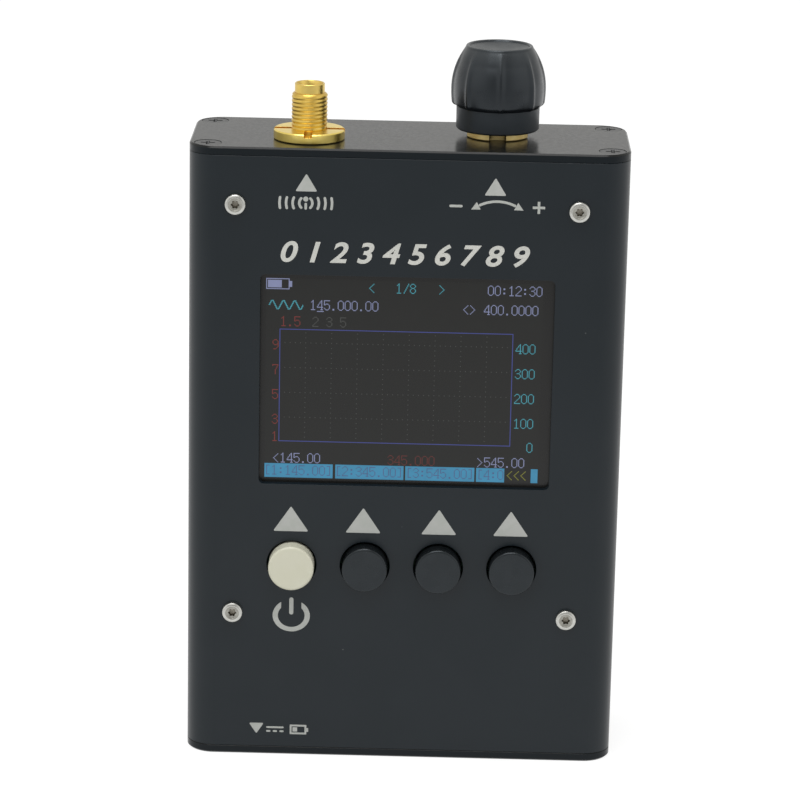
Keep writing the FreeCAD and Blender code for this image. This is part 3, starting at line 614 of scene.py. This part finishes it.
def thicken(bm, depth):
    """Flat faces drawn out towards the front."""
    made = bmesh.ops.extrude_face_region(bm, geom=bm.faces[:])
    moved = [item for item in made["geom"] if isinstance(item, bmesh.types.BMVert)]
    bmesh.ops.translate(bm, vec=(0, -depth, 0), verts=moved)


# ---- print on the front

front_y = box_mm("case_body")[0].y
ink_y = front_y - INK_THICKNESS


def print_mark(name, *outlines):
    """Printed shapes on the front face, with outlines of (x, z) points."""
    bm = bmesh.new()
    for outline in outlines:
        add_rings(bm, [[(x, y, z) for x, z in outline] for y in (ink_y, front_y)])
    piece(name, bm, finishes["printed_ink"])


def softened(outline, radius):
    """A convex outline with its corners rounded."""
    points = [Vector(point) for point in outline]
    soft = []
    for i, corner in enumerate(points):
        to_last = (points[i - 1] - corner).normalized()
        to_next = (points[(i + 1) % len(points)] - corner).normalized()
        half = to_last.angle(to_next) / 2
        centre = corner + (to_last + to_next).normalized() * radius / math.sin(half)
        start = corner + to_last * radius / math.tan(half) - centre
        end = corner + to_next * radius / math.tan(half) - centre
        for step in range(CORNER_STEPS + 1):
            share = step / CORNER_STEPS
            soft.append(tuple(centre + start.lerp(end, share).normalized() * radius))
    return soft


def triangle(x, base_z, width, height):
    """A triangle on a level base, which points down where the height is negative."""
    outline = [(x - width / 2, base_z), (x + width / 2, base_z), (x, base_z + height)]
    return softened(outline, INK_CORNER)


def arc_points(x, z, radius, start, end, steps):
    """Points on an arc round a centre, with both its ends."""
    angles = [start + (end - start) * step / steps for step in range(steps + 1)]
    return [(x + radius * math.cos(a), z + radius * math.sin(a)) for a in angles]


def rectangle(left, low, right, high):
    """A rectangle with level and upright sides."""
    return [(left, low), (right, low), (right, high), (left, high)]


def arc_band(x, z, radius, stroke, start, end, steps):
    """A curved stroke of one width round a centre, between two angles, with round ends."""
    def cap(angle, first):
        cx, cz = x + radius * math.cos(angle), z + radius * math.sin(angle)
        return arc_points(cx, cz, stroke / 2, first, first + math.pi, STROKE_END_STEPS)[1:-1]

    outer = arc_points(x, z, radius + stroke / 2, start, end, steps)
    inner = arc_points(x, z, radius - stroke / 2, end, start, steps)
    return outer + cap(end, end) + inner + cap(start, start + math.pi)


def open_ring(x, z, radius, stroke, gap, squash, steps=48):
    """A ring squashed in height and open at its top, between two upright cuts gap from its middle."""
    outline = []
    for edge, way in ((radius + stroke / 2, 1), (radius - stroke / 2, -1)):
        first = math.asin(gap / edge)
        turn = 2 * (math.pi - first)
        for step in range(steps + 1):
            angle = math.pi / 2 + way * first + way * turn * step / steps
            outline.append((x + edge * math.cos(angle), z + squash * edge * math.sin(angle)))
    return outline


def bar(x0, z0, x1, z1, stroke):
    """A straight stroke of one width between two points, with round ends."""
    turn = math.atan2(z1 - z0, x1 - x0)
    outline = []
    for x, z, first in ((x1, z1, turn - math.pi / 2), (x0, z0, turn + math.pi / 2)):
        outline += arc_points(x, z, stroke / 2, first, first + math.pi, STROKE_END_STEPS)
    return outline


def plus(x, z, half, stroke):
    """A plus sign."""
    s = stroke / 2
    outline = []
    for right, up in ((1, 1), (-1, 1), (-1, -1), (1, -1)):
        arm = [(x + right * half, z + up * s), (x + right * s, z + up * s), (x + right * s, z + up * half)]
        outline += arm if right == up else arm[::-1]
    return outline


def arrow_head(x, z, heading, size):
    """A triangle whose base is centred on a point and which points along a heading."""
    along = Vector((math.cos(heading), math.sin(heading)))
    side = Vector((-along.y, along.x)) * size / 2
    base = Vector((x, z))
    return [tuple(base + side), tuple(base - side), tuple(base + along * size)]


for number, x in enumerate(MARKER_X, 1):
    print_mark(f"button_marker_{number}", triangle(x, MARKER_BASE_Z, MARKER_WIDTH, MARKER_HEIGHT))
for name, x in (("jack_marker", JACK_MARKER_X), ("knob_marker", KNOB_MARKER_X)):
    print_mark(name, triangle(x, SMALL_MARKER_BASE_Z, SMALL_MARKER_WIDTH, SMALL_MARKER_HEIGHT))
print_mark(
    "charge_marker",
    triangle(CHARGE_MARKER_X, CHARGE_MARKER_Z, CHARGE_MARKER_WIDTH, -CHARGE_MARKER_HEIGHT),
)
print_mark(
    "power_symbol",
    open_ring(POWER_X, POWER_Z, POWER_RADIUS, POWER_STROKE, POWER_GAP, POWER_SQUASH),
    bar(POWER_X, POWER_BAR_LOW, POWER_X, POWER_BAR_HIGH, POWER_BAR_STROKE),
)


def aerial_symbol():
    """A mast with waves to both sides."""
    x = AERIAL_X
    tip_z = AERIAL_BASE_Z + SIGN_HEIGHT - SIGN_STROKE
    shapes = [
        bar(x, AERIAL_BASE_Z + SIGN_STROKE / 2, x, tip_z - 2 * SIGN_STROKE, SIGN_STROKE),
        arc_points(x, tip_z, SIGN_STROKE, 0, 2 * math.pi, 24)[1:],
    ]
    middle_z = AERIAL_BASE_Z + SIGN_HEIGHT / 2
    for wave in range(1, AERIAL_WAVES + 1):
        radius = wave * AERIAL_WAVE_STEP
        reach = math.asin(min((SIGN_HEIGHT - SIGN_STROKE) / 2 / radius, AERIAL_WAVE_SINE))
        for facing in (0, math.pi):
            shapes.append(arc_band(x, middle_z, radius, SIGN_STROKE, facing - reach, facing + reach, 12))
    print_mark("aerial_symbol", *shapes)


def turn_symbol():
    """A double-headed turn arrow between a minus and a plus sign."""
    left, right = TURN_X - TURN_HALF_WIDTH, TURN_X + TURN_HALF_WIDTH
    middle_z = TURN_BASE_Z + SIGN_HEIGHT / 2
    radius, reach = TURN_ARROW_RADIUS, TURN_ARROW_REACH
    centre_z = TURN_BASE_Z + SIGN_HEIGHT - SIGN_STROKE / 2 - radius
    shapes = [
        bar(left, middle_z, left + MINUS_WIDTH, middle_z, SIGN_STROKE),
        plus(right - PLUS_INSET, middle_z, PLUS_REACH, SIGN_STROKE),
        arc_band(TURN_X, centre_z, radius, SIGN_STROKE, math.pi / 2 - reach, math.pi / 2 + reach, 20),
    ]
    for side in (-1, 1):
        angle = math.pi / 2 - side * (reach + SIGN_STROKE / 2 / radius)
        end_x, end_z = TURN_X + radius * math.cos(angle), centre_z + radius * math.sin(angle)
        shapes.append(arrow_head(end_x, end_z, angle - side * math.pi / 2, TURN_HEAD_SIZE))
    print_mark("turn_symbol", *shapes)


def supply_symbol():
    """The sign for direct current, a line over dashes, and a battery beside it."""
    line_z = SUPPLY_BASE_Z + SUPPLY_LINE_RISE
    dash_z = SUPPLY_BASE_Z + SUPPLY_DASH_RISE
    dashes_end = SUPPLY_X + SUPPLY_DASHES * DASH_STEP
    shapes = [bar(SUPPLY_X, line_z, dashes_end - DASH_GAP, line_z, SUPPLY_STROKE)]
    for dash in range(SUPPLY_DASHES):
        start = SUPPLY_X + dash * DASH_STEP
        shapes.append(bar(start, dash_z, start + DASH_STEP - DASH_GAP, dash_z, SUPPLY_STROKE))
    s = SUPPLY_STROKE / 2
    left = dashes_end + BATTERY_GAP
    right = left + BATTERY_WIDTH
    low, high = SUPPLY_BASE_Z + s, SUPPLY_BASE_Z + SUPPLY_HEIGHT - s
    shapes += [
        rectangle(left - s, low - s, right + s, low + s),
        rectangle(left - s, high - s, right + s, high + s),
        rectangle(left - s, low + s, left + s, high - s),
        rectangle(right - s, low + s, right + s, high - s),
        rectangle(right + s, dash_z, right + 3 * s, line_z),
        rectangle(left + 2 * s, low + 2 * s, left + 7 * s, high - 2 * s),
    ]
    print_mark("supply_symbol", *shapes)


aerial_symbol()
turn_symbol()
supply_symbol()


def title_scale():
    """Plain printed numerals that fill the title's width and height."""
    curve = bpy.data.curves.new("title_scale", "FONT")
    curve.body = TITLE_TEXT
    curve.shear = TITLE_SLANT
    curve.offset = TITLE_WEIGHT
    shape = new_object("title_scale", curve)
    bpy.context.view_layer.update()
    flat = bpy.data.meshes.new_from_object(shape.evaluated_get(bpy.context.evaluated_depsgraph_get()))
    bpy.data.objects.remove(shape)
    bm = bmesh.new()
    bm.from_mesh(flat)
    bpy.data.meshes.remove(flat)
    bmesh.ops.remove_doubles(bm, verts=bm.verts, dist=1e-5)
    xs = [vert.co.x for vert in bm.verts]
    ys = [vert.co.y for vert in bm.verts]
    scale_x = TITLE_WIDTH / (max(xs) - min(xs))
    scale_z = TITLE_HEIGHT / (max(ys) - min(ys))
    for vert in bm.verts:
        x = TITLE_X + (vert.co.x - min(xs)) * scale_x
        z = TITLE_Z + (vert.co.y - min(ys)) * scale_z
        vert.co = Vector((x, front_y, z))
    thicken(bm, INK_THICKNESS)
    # Its faces point outwards already, and turning them goes wrong at a tiny fold in the 9
    piece("title_scale", bm, finishes["title_ink"], turn_faces=False)


title_scale()


# ---- display image

panel_front = box_mm("lcd_panel")[0].y

# Rows of a dot font, seven dots wide, one hexadecimal byte per row from the top. A space has none.
GLYPHS = {
    "0": "1C 22 41 41 41 41 41 41 41 41 22 1C",
    "1": "08 18 28 08 08 08 08 08 08 08 08 3E",
    "2": "1C 22 41 01 01 02 04 08 10 20 40 7F",
    "3": "1C 22 41 01 02 1C 02 01 01 41 22 1C",
    "4": "02 06 0A 0A 12 22 22 42 7F 02 02 07",
    "5": "7F 40 40 40 5C 62 01 01 01 41 22 1C",
    "6": "0E 10 20 40 40 5C 62 41 41 41 22 1C",
    "7": "7F 41 02 02 04 04 08 08 08 08 08 08",
    "8": "1C 22 41 41 22 1C 22 41 41 41 22 1C",
    "9": "1C 22 41 41 41 23 1D 01 01 02 04 38",
    "<": "00 02 04 08 10 20 40 20 10 08 04 02",
    ">": "00 40 20 10 08 04 02 04 08 10 20 40",
    ".": "00 00 00 00 00 00 00 00 00 00 18 18",
    ":": "00 00 00 18 18 00 00 00 18 18 00 00",
    "[": "1E 10 10 10 10 10 10 10 10 10 10 1E",
    "]": "3C 04 04 04 04 04 04 04 04 04 04 3C",
    "/": "01 01 02 02 04 04 08 08 10 10 20 20",
}
GLYPH_WIDTH = 7
CELL_WIDTH = 8

# The display's texts by piece, as (text, column, row)
SCREEN_TEXTS = {
    "screen_cyan": [
        ("<", 119, 3), ("1/8", 150, 3), (">", 200, 3),
        ("400", 290, 72), ("300", 290, 102), ("200", 290, 132), ("100", 290, 162), ("0", 306, 191),
    ],
    "screen_lavender": [
        ("00:12:30", 256, 3), ("145.000.00", 51, 25), ("<> 400.0000", 228, 26),
        ("<145.00", 10, 210), (">545.00", 249, 210),
    ],
    "screen_red": [
        ("1.5", 17, 45), ("9", 8, 73), ("7", 8, 103), ("5", 8, 133), ("3", 8, 163), ("1", 8, 184),
    ],
    "screen_dark_red": [("345.000", 144, 210)],
    "screen_grid": [("2 3 5", 54, 45)],
    "screen_key_numbers": [
        ("[1:145.00]", 0, 225), ("[2:345.00]", 83, 225), ("[3:545.00]", 166, 225), ("[4:0", 249, 225),
    ],
    "screen_yellow": [("<<<", 284, 225)],
}

# Areas of the display, as (left, top, right, bottom)
PLOT = (16, 60, 287, 196)
BATTERY_SIGN = (0, 0, 27, 13)
BATTERY_TIP = (27, 3, 30, 10)
BATTERY_CHARGE = (2, 2, 18, 11)
CURSOR = (59, 38, 67, 39)
SOFT_KEYS = ((0, 80), (83, 163), (165, 246), (248, 281), (312, 320))
SOFT_KEY_TOP = 223

# The plot's dotted grid
GRID_COLUMNS = range(46, 257, 30)
GRID_ROWS = range(76, 167, 30)
GRID_FIRST_COLUMN = 22
GRID_FIRST_ROW = 64
GRID_MARGIN = 2
GRID_STEP = 6

CYAN = (62, 144, 158)
LAVENDER = (126, 132, 166)
BLUE = (58, 66, 132)
SKY = (56, 132, 168)
RED = (112, 40, 36)
DIM_RED = (86, 32, 28)
DIM_GREY = (64, 66, 64)
YELLOW = (128, 128, 40)
NAVY = (70, 92, 130)
GROUND = (14, 15, 13)


def text_dots(text, left, top):
    """The dots of a line of text, as (column, row) pairs."""
    dots = []
    for place, character in enumerate(text):
        for row, code in enumerate(GLYPHS.get(character, "").split()):
            bits = int(code, 16)
            for column in range(GLYPH_WIDTH):
                if bits >> (GLYPH_WIDTH - 1 - column) & 1:
                    dots.append((left + place * CELL_WIDTH + column, top + row))
    return dots


def dots_piece(name, colour, layer=1, dots=(), areas=()):
    """A piece's texts, dots and whole areas of one colour, in one layer of the display."""
    bm = bmesh.new()
    corners = {}

    def corner(column, row):
        if (column, row) not in corners:
            place = (SCREEN_LEFT + column * DOT, 0, SCREEN_TOP - row * DOT)
            corners[column, row] = bm.verts.new(place)
        return corners[column, row]

    dots = list(dots)
    for line in SCREEN_TEXTS.get(name, []):
        dots += text_dots(*line)
    areas = list(areas) + [(column, row, column + 1, row + 1) for column, row in set(dots)]
    for left, top, right, bottom in areas:
        bm.faces.new((corner(left, top), corner(left, bottom), corner(right, bottom), corner(right, top)))
    bmesh.ops.translate(bm, vec=(0, panel_front - layer * SCREEN_LAYER, 0), verts=bm.verts)
    thicken(bm, SCREEN_LAYER)
    piece(name, bm, lit_dots(name, colour))


def frame_areas(left, top, right, bottom):
    """The four sides of a rectangle's outline, one dot wide."""
    return [
        (left, top, right, top + 1),
        (left, bottom - 1, right, bottom),
        (left, top + 1, left + 1, bottom - 1),
        (right - 1, top + 1, right, bottom - 1),
    ]


def grid_dots():
    """The plot's dotted grid."""
    right, bottom = PLOT[2:]
    dots = []
    for column in GRID_COLUMNS:
        dots += [(column, row) for row in range(GRID_FIRST_ROW, bottom - GRID_MARGIN, GRID_STEP)]
    for row in GRID_ROWS:
        dots += [(column, row) for column in range(GRID_FIRST_COLUMN, right - GRID_MARGIN, GRID_STEP)]
    return dots


def wave_dots(left, right, middle, height, period):
    """A drawn sine wave, with its steep stretches joined up."""
    dots = []
    previous = middle
    for column in range(left, right):
        row = round(middle - height * math.sin(2 * math.pi * (column - left) / period))
        step = 1 if row >= previous else -1
        dots += [(column, between) for between in range(previous, row + step, step)]
        previous = row
    return dots


dots_piece("screen_ground", GROUND, layer=0, areas=[(0, 0, SCREEN_COLUMNS, SCREEN_ROWS)])
dots_piece("screen_cyan", CYAN, dots=wave_dots(left=3, right=43, middle=31, height=5, period=13))
dots_piece(
    "screen_lavender", LAVENDER,
    areas=frame_areas(*BATTERY_SIGN) + [BATTERY_TIP, BATTERY_CHARGE, CURSOR],
)
dots_piece("screen_plot", BLUE, areas=frame_areas(*PLOT))
dots_piece("screen_red", RED)
dots_piece("screen_dark_red", DIM_RED)
dots_piece("screen_grid", DIM_GREY, dots=grid_dots())
dots_piece("screen_keys", SKY, areas=[(left, SOFT_KEY_TOP, right, SCREEN_ROWS) for left, right in SOFT_KEYS])
dots_piece("screen_key_numbers", NAVY, layer=2)
dots_piece("screen_yellow", YELLOW)


# ---- jack with its thread

def mount_radius(name):
    """The stated radius of one of the record's mounts, in millimetres."""
    mount = next(m for m in frame["record"]["mounts"] if m["name"] == name)
    return mount["dims"]["r_mm"]


def add_box(bm, low, high):
    """A box between two corners."""
    add_rings(bm, [
        [(low.x, low.y, z), (high.x, low.y, z), (high.x, high.y, z), (low.x, high.y, z)]
        for z in (low.z, high.z)
    ])


def threaded_jack():
    """The jack with its thread cut: square flange, barrel, nose with an open mouth, and four legs."""
    low, high = box_mm("jack_body")
    plate_bottom = box_mm("top_end_plate")[0].z
    nut_top = box_mm("jack_nut")[1].z
    axis = box_centre("jack_nut")
    bore = (box_mm("jack_insulator")[1].x - box_mm("jack_insulator")[0].x) / 2
    insulator_top = box_mm("jack_insulator")[1].z
    crest = mount_radius("jack_thread")
    mouth = mount_radius("jack_mouth")
    nose = mouth + JACK_NOSE_WALL
    shank = crest - JACK_SHANK_STEP
    nose_base = high.z - JACK_NOSE_LENGTH
    flange_half = (high.x - low.x) / 2
    flange_bottom = low.z + JACK_LEG_LENGTH
    angles = circle_angles(JACK_COLUMNS)

    def ring(radius, z):
        return round_ring(axis, radius, z, angles)

    def square(angle):
        return flange_half / max(abs(math.cos(angle)), abs(math.sin(angle)))

    def thread(z):
        """The thread's outline at a height: round crests and roots, and a chamfer at its top."""
        def radius(angle):
            turn = (z - nut_top) / THREAD_PITCH - angle / (2 * math.pi)
            wave = 0.5 - 0.5 * math.cos(2 * math.pi * turn)
            chamfer = crest - JACK_CHAMFER + (nose_base - z)
            return min(crest - THREAD_DEPTH + THREAD_DEPTH * wave ** THREAD_FULLNESS, chamfer)
        return radius

    rings = [
        ring(bore, flange_bottom), ring(square, flange_bottom), ring(square, plate_bottom),
        ring(shank, plate_bottom), ring(shank, nut_top - JACK_EDGE),
    ]
    rows = round((nose_base - nut_top) / THREAD_PITCH * THREAD_ROWS_PER_TURN)
    for row in range(rows + 1):
        z = nut_top + (nose_base - nut_top) * row / rows
        rings.append(ring(thread(z), z))
    # The nose's second ring keeps its wall evenly shaded up to the rounded edge
    rings += [
        ring(nose, nose_base), ring(nose, high.z - 1.5 * JACK_EDGE),
        ring(nose, high.z - JACK_EDGE), ring(nose - JACK_EDGE, high.z),
        ring(mouth + JACK_EDGE / 2, high.z), ring(mouth, high.z - JACK_EDGE / 2),
        ring(mouth, insulator_top), ring(bore, insulator_top),
    ]
    bm = bmesh.new()
    add_rings(bm, rings, closed=True)
    board_front, board_back = box_mm("main_board")[0].y, box_mm("main_board")[1].y
    for side in (-1, 1):
        leg_x = axis.x + side * (flange_half - JACK_LEG_INSET)
        for leg_y in (board_front - JACK_LEG_SIZE, board_back):
            leg_low = Vector((leg_x - JACK_LEG_SIZE / 2, leg_y, low.z))
            add_box(bm, leg_low, leg_low + Vector((JACK_LEG_SIZE, JACK_LEG_SIZE, JACK_LEG_LENGTH)))
    made = piece("jack_threaded_body", bm, finishes["gold_plate"], sharp=50)
    # The thread takes the darker copy of the gold, whose extra darkness is painted shade
    made.data.materials.append(finishes["thread_gold_painted_shade"])
    for face in made.data.polygons:
        if nut_top < face.center.z / MM < nose_base:
            face.material_index = 1
    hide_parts("jack_body")


threaded_jack()


# ---- knob grip

def arc_through(start, middle, end, steps):
    """Points on the round arc from start over middle to end, without its start."""
    (ax, ay), (bx, by), (cx, cy) = start, middle, end
    a, b, c = ax * ax + ay * ay, bx * bx + by * by, cx * cx + cy * cy
    scale = 2 * (ax * (by - cy) + bx * (cy - ay) + cx * (ay - by))
    x = (a * (by - cy) + b * (cy - ay) + c * (ay - by)) / scale
    y = (a * (cx - bx) + b * (ax - cx) + c * (bx - ax)) / scale
    radius = math.hypot(ax - x, ay - y)
    first = math.atan2(ay - y, ax - x)
    sweep = (math.atan2(cy - y, cx - x) - first) % (2 * math.pi)
    if (math.atan2(by - y, bx - x) - first) % (2 * math.pi) > sweep:
        sweep -= 2 * math.pi
    return arc_points(x, y, radius, first, first + sweep, steps)[1:]


def moulded_grip():
    """The knob's grip: a bellied dome with a dished top, and narrow ridges that fade out under its rim."""
    low, high = box_mm("knob_grip")
    core_height = box_mm("knob_core")[1].z - low.z
    axis = box_centre("knob_core")
    height = high.z - low.z
    rim_height = height - GRIP_RIM_RADIUS
    rim_inner = GRIP_RIM - 2 * GRIP_RIM_RADIUS
    dish_radius = (rim_inner ** 2 + GRIP_DISH_DEPTH ** 2) / (2 * GRIP_DISH_DEPTH)
    dish_rise = dish_radius - math.sqrt(dish_radius ** 2 - (rim_inner / 2) ** 2)
    dish_floor = rim_height - GRIP_DISH_DEPTH
    rim_top = (GRIP_RIM - GRIP_RIM_RADIUS, height)
    side = [(GRIP_FOOT, 0.0)]
    side += arc_through(side[-1], GRIP_FOOT_BEND, GRIP_FOOT_TOP, steps=8)
    side += arc_through(side[-1], GRIP_WAIST, GRIP_BELLY, steps=4)
    side += arc_through(side[-1], GRIP_SHOULDER, (GRIP_RIM, rim_height), steps=28)
    top = arc_through(side[-1], rim_top, (rim_inner, rim_height), steps=8)
    dish = arc_through(top[-1], (rim_inner / 2, dish_floor + dish_rise), (0, dish_floor), steps=12)[:-1]
    angles = circle_angles(GRIP_COLUMNS)
    pitch = 2 * math.pi / GRIP_RIDGES

    def valley(angle, radius):
        """Nothing on a ridge, and one away from it."""
        away = abs((angle + math.pi / 2 - GRIP_RIDGE_TURN + pitch / 2) % pitch - pitch / 2)
        return 1 - math.exp(-(away * radius / GRIP_RIDGE_HALF_WIDTH) ** 2)

    def ring(radius, z, ridge_height=0.0):
        """A ring whose ridges have its radius, with lower valleys between them."""
        def lowered(angle):
            return radius - ridge_height * valley(angle, radius)
        return round_ring(axis, lowered, low.z + z, angles)

    rings = [ring(GRIP_BORE, core_height), ring(GRIP_BORE, 0)]
    for radius, z in side:
        fade = min(max((rim_height - z) / GRIP_RIDGE_FADE, 0), 1)
        rings.append(ring(radius, z, GRIP_RIDGE_HEIGHT * fade))
    rings += [ring(radius, z) for radius, z in top + dish]
    bm = bmesh.new()
    add_rings(bm, rings)
    made = piece("moulded_grip", bm, finishes["knob_grip"], "select_knob", sharp=45)
    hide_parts("knob_grip")


moulded_grip()


# ---- screws with their recesses

def screw_rings(profile, recess, depth, taper):
    """Rings of a screw along +Z, from the floor of its recess over its head to its tip.

    profile lists (radius, height) points of the head's outside, from the middle outwards, and of
    the thread. recess gives the recess's radius at an angle, depth how deep its floor lies below
    the head's top, and taper how much smaller the floor is than the mouth.
    """
    angles = circle_angles(SCREW_COLUMNS)
    centre = Vector((0, 0, 0))
    top = profile[0][1]

    def head_height(radius):
        for (r0, z0), (r1, z1) in zip(profile, profile[1:]):
            if r0 <= radius <= r1:
                return z0 + (z1 - z0) * (radius - r0) / (r1 - r0)
        return top

    def mouth(share, sunk):
        """A ring that follows the recess on the head, or sunk below it."""
        ring = []
        for angle in angles:
            radius = share * recess(angle)
            ring.append((radius * math.cos(angle), radius * math.sin(angle), head_height(radius) - sunk))
        return ring

    outer = 1.0 + SCREW_EDGE
    rings = [
        round_ring(centre, lambda angle: taper * recess(angle), top - depth, angles),
        mouth(1.0, SCREW_EDGE),
        mouth(outer, 0.0),
    ]
    widest = outer * max(recess(angle) for angle in angles)
    for radius, z in profile:
        if radius > widest or z < top - depth:
            rings.append(round_ring(centre, radius, z, angles))
    return rings


def placed_screws(replaced, rings, places, direction, slot):
    """A screw at each place, with its +Z turned to a direction, instead of a node's plain ones."""
    turn = Vector((0, 0, 1)).rotation_difference(Vector(direction)).to_matrix().to_4x4()
    screws = []
    for number, place in enumerate(places, 1):
        bm = bmesh.new()
        add_rings(bm, rings)
        bmesh.ops.transform(bm, matrix=Matrix.Translation(place) @ turn, verts=bm.verts)
        made = piece(f"{replaced[:-1]}_{number}", bm, finishes[slot], sharp=35)
        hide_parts(replaced)
        screws.append(made)
    return screws


def six_lobes(angle):
    """The outline of a six-lobe recess."""
    return LOBE_MEAN + LOBE_SWING * math.cos(6 * angle)


def cross_arms(angle):
    """The outline of a cross recess."""
    off_arm = abs((angle + math.pi / 4) % (math.pi / 2) - math.pi / 4)
    return min(CROSS_ARM, CROSS_HALF_WIDTH / max(math.sin(off_arm), 1e-6))


def front_screws():
    """Round heads whose dished middle holds a deep six-lobe recess."""
    low, high = box_mm("front_screws")
    head = FRONT_HEAD_RADIUS
    height = front_y - low.y
    sunk = height - FRONT_SINK_DEPTH
    profile = [
        (0, sunk), (FRONT_SINK_RADIUS, sunk), (FRONT_RIM_RADIUS - 2 * SCREW_EDGE, height - SCREW_EDGE),
    ]
    rounding = (head - FRONT_SIDE_SLOPE - FRONT_RIM_RADIUS) / math.sin(FRONT_RIM_TILT)
    for step in range(FRONT_RIM_STEPS + 1):
        tilt = FRONT_RIM_TILT * step / FRONT_RIM_STEPS
        drop = rounding * (1 - math.cos(tilt))
        profile.append((FRONT_RIM_RADIUS + rounding * math.sin(tilt), height - drop))
    profile += [(head, 0), (FRONT_THREAD_RADIUS, 0), (FRONT_THREAD_RADIUS, front_y - high.y)]
    rings = screw_rings(profile, six_lobes, FRONT_RECESS_DEPTH, FRONT_RECESS_TAPER)
    places = [(x, front_y, z) for x in (low.x + head, high.x - head) for z in (low.z + head, high.z - head)]
    screws = placed_screws("front_screws", rings, places, (0, -1, 0), "steel_screw")
    # The dished middle takes the darker struck steel, whose darkness is partly painted shade
    for made, (x, _, z) in zip(screws, places):
        made.data.materials.append(finishes["struck_dish_steel_and_shade"])
        axis = Vector((x, 0, z)) * MM
        for face in made.data.polygons:
            across = (face.center - axis) * Vector((1, 0, 1))
            if face.center.y < front_y * MM and across.length < FRONT_RIM_RADIUS * MM:
                face.material_index = 1


def plate_screws(node, outward):
    """Countersunk heads with a cross recess, a hair below the plate."""
    low, high = box_mm(node)
    head, thread = PLATE_HEAD_RADIUS, PLATE_THREAD_RADIUS
    top, edge = -PLATE_HEAD_SUNK, PLATE_HEAD_EDGE
    profile = [
        (0, top), (head - edge, top), (head, top - edge),
        (thread, thread - head - edge), (thread, low.z - high.z),
    ]
    rings = screw_rings(profile, cross_arms, PLATE_RECESS_DEPTH, PLATE_RECESS_TAPER)
    z = high.z if outward > 0 else low.z
    places = [(x, y, z) for x in (low.x + head, high.x - head) for y in (low.y + head, high.y - head)]
    placed_screws(node, rings, places, (0, 0, outward), "black_screw")


front_screws()
plate_screws("top_plate_screws", 1)
plate_screws("bottom_plate_screws", -1)


# ---- stage, light and camera

def seen_directly(tree):
    """One for rays from the camera, from mirror-like surfaces and through glass, otherwise zero."""
    path = add_node(tree, "LightPath")
    value = path.outputs["Is Camera Ray"]
    for ray in ("Is Glossy Ray", "Is Transmission Ray"):
        either = add_node(tree, "Math", value, path.outputs[ray])
        either.operation = "MAXIMUM"
        value = either.outputs[0]
    return value


def floor():
    """A wide pale floor under the object, a little dimmer far in front, which shows a faint shadow."""
    bm = bmesh.new()
    bmesh.ops.create_grid(bm, x_segments=1, y_segments=1, size=FLOOR_HALF_WIDTH * MM)
    mesh = bpy.data.meshes.new("floor")
    bm.to_mesh(mesh)
    bm.free()
    material = bpy.data.materials.new("floor")
    material.use_nodes = True
    tree = material.node_tree
    tree.nodes.clear()
    plain = add_node(tree, "BsdfDiffuse", FLOOR_COLOUR)
    shade = add_node(tree, "BsdfDiffuse", FLOOR_SEEN_COLOUR)
    position = add_node(tree, "NewGeometry").outputs["Position"]
    depth = add_node(tree, "SeparateXYZ", position).outputs["Y"]
    strength = smooth_range(tree, depth, FLOOR_FRONT_GLOW, FLOOR_GLOW,
                            -FLOOR_DIM_REACH * MM, -FLOOR_BRIGHT_REACH * MM)
    glow = add_node(tree, "Emission", Strength=strength)
    seen = add_node(tree, "AddShader", shade.outputs[0], glow.outputs[0])
    mix = add_node(tree, "MixShader", seen_directly(tree), plain.outputs[0], seen.outputs[0])
    add_node(tree, "OutputMaterial", mix.outputs[0])
    mesh.materials.append(material)
    made = new_object("floor", mesh)


def world():
    """A soft studio, bright to both sides and dim straight in front, where the camera stands."""
    made = bpy.data.worlds.new("studio")
    bpy.context.scene.world = made
    made.use_nodes = True
    tree = made.node_tree
    tree.nodes.clear()
    direction = add_node(tree, "TexCoord").outputs["Generated"]
    parts = add_node(tree, "SeparateXYZ", direction).outputs
    sideways = add_node(tree, "Math", parts["X"])
    sideways.operation = "ABSOLUTE"
    front = smooth_range(tree, sideways.outputs[0], STUDIO_FRONT, STUDIO_SIDES, *STUDIO_SIDE_RANGE)
    level = smooth_range(tree, parts["Y"], front, STUDIO_BACK, *STUDIO_BACK_RANGE)
    studio = add_node(tree, "Background", STUDIO_COLOUR, level)
    add_node(tree, "OutputWorld", studio.outputs[0])


def lamp(name, place, size, power):
    """A square soft box that faces the object. Its power is in watts."""
    data = bpy.data.lights.new(name, "AREA")
    data.shape = "SQUARE"
    data.size = size * MM
    data.energy = power
    made = new_object(name, data)
    made.location = Vector(place) * MM
    made.rotation_mode = "QUATERNION"
    made.rotation_quaternion = (Vector(LAMP_TARGET) - Vector(place)).to_track_quat("-Z", "Y")


def camera():
    """The camera that took the reference view."""
    data = bpy.data.cameras.new("camera")
    data.lens = CAMERA_LENS
    data.sensor_width = SENSOR_WIDTH
    data.clip_start = CAMERA_NEAREST * MM
    data.clip_end = CAMERA_FARTHEST * MM
    made = new_object("camera", data)
    forward = Vector((
        math.sin(CAMERA_YAW) * math.cos(CAMERA_PITCH),
        math.cos(CAMERA_YAW) * math.cos(CAMERA_PITCH),
        math.sin(CAMERA_PITCH),
    ))
    level = Vector((math.cos(CAMERA_YAW), -math.sin(CAMERA_YAW), 0))
    up = level.cross(forward)
    right = level * math.cos(CAMERA_ROLL) + up * math.sin(CAMERA_ROLL)
    up = up * math.cos(CAMERA_ROLL) - level * math.sin(CAMERA_ROLL)
    turn = Matrix((right, up, -forward)).transposed()
    made.matrix_world = Matrix.Translation(Vector(CAMERA_PLACE) * MM) @ turn.to_4x4()
    bpy.context.scene.camera = made


floor()
world()
for name, values in LAMPS.items():
    lamp(name, *values)
camera()
bpy.context.scene.view_settings.view_transform = "Standard"
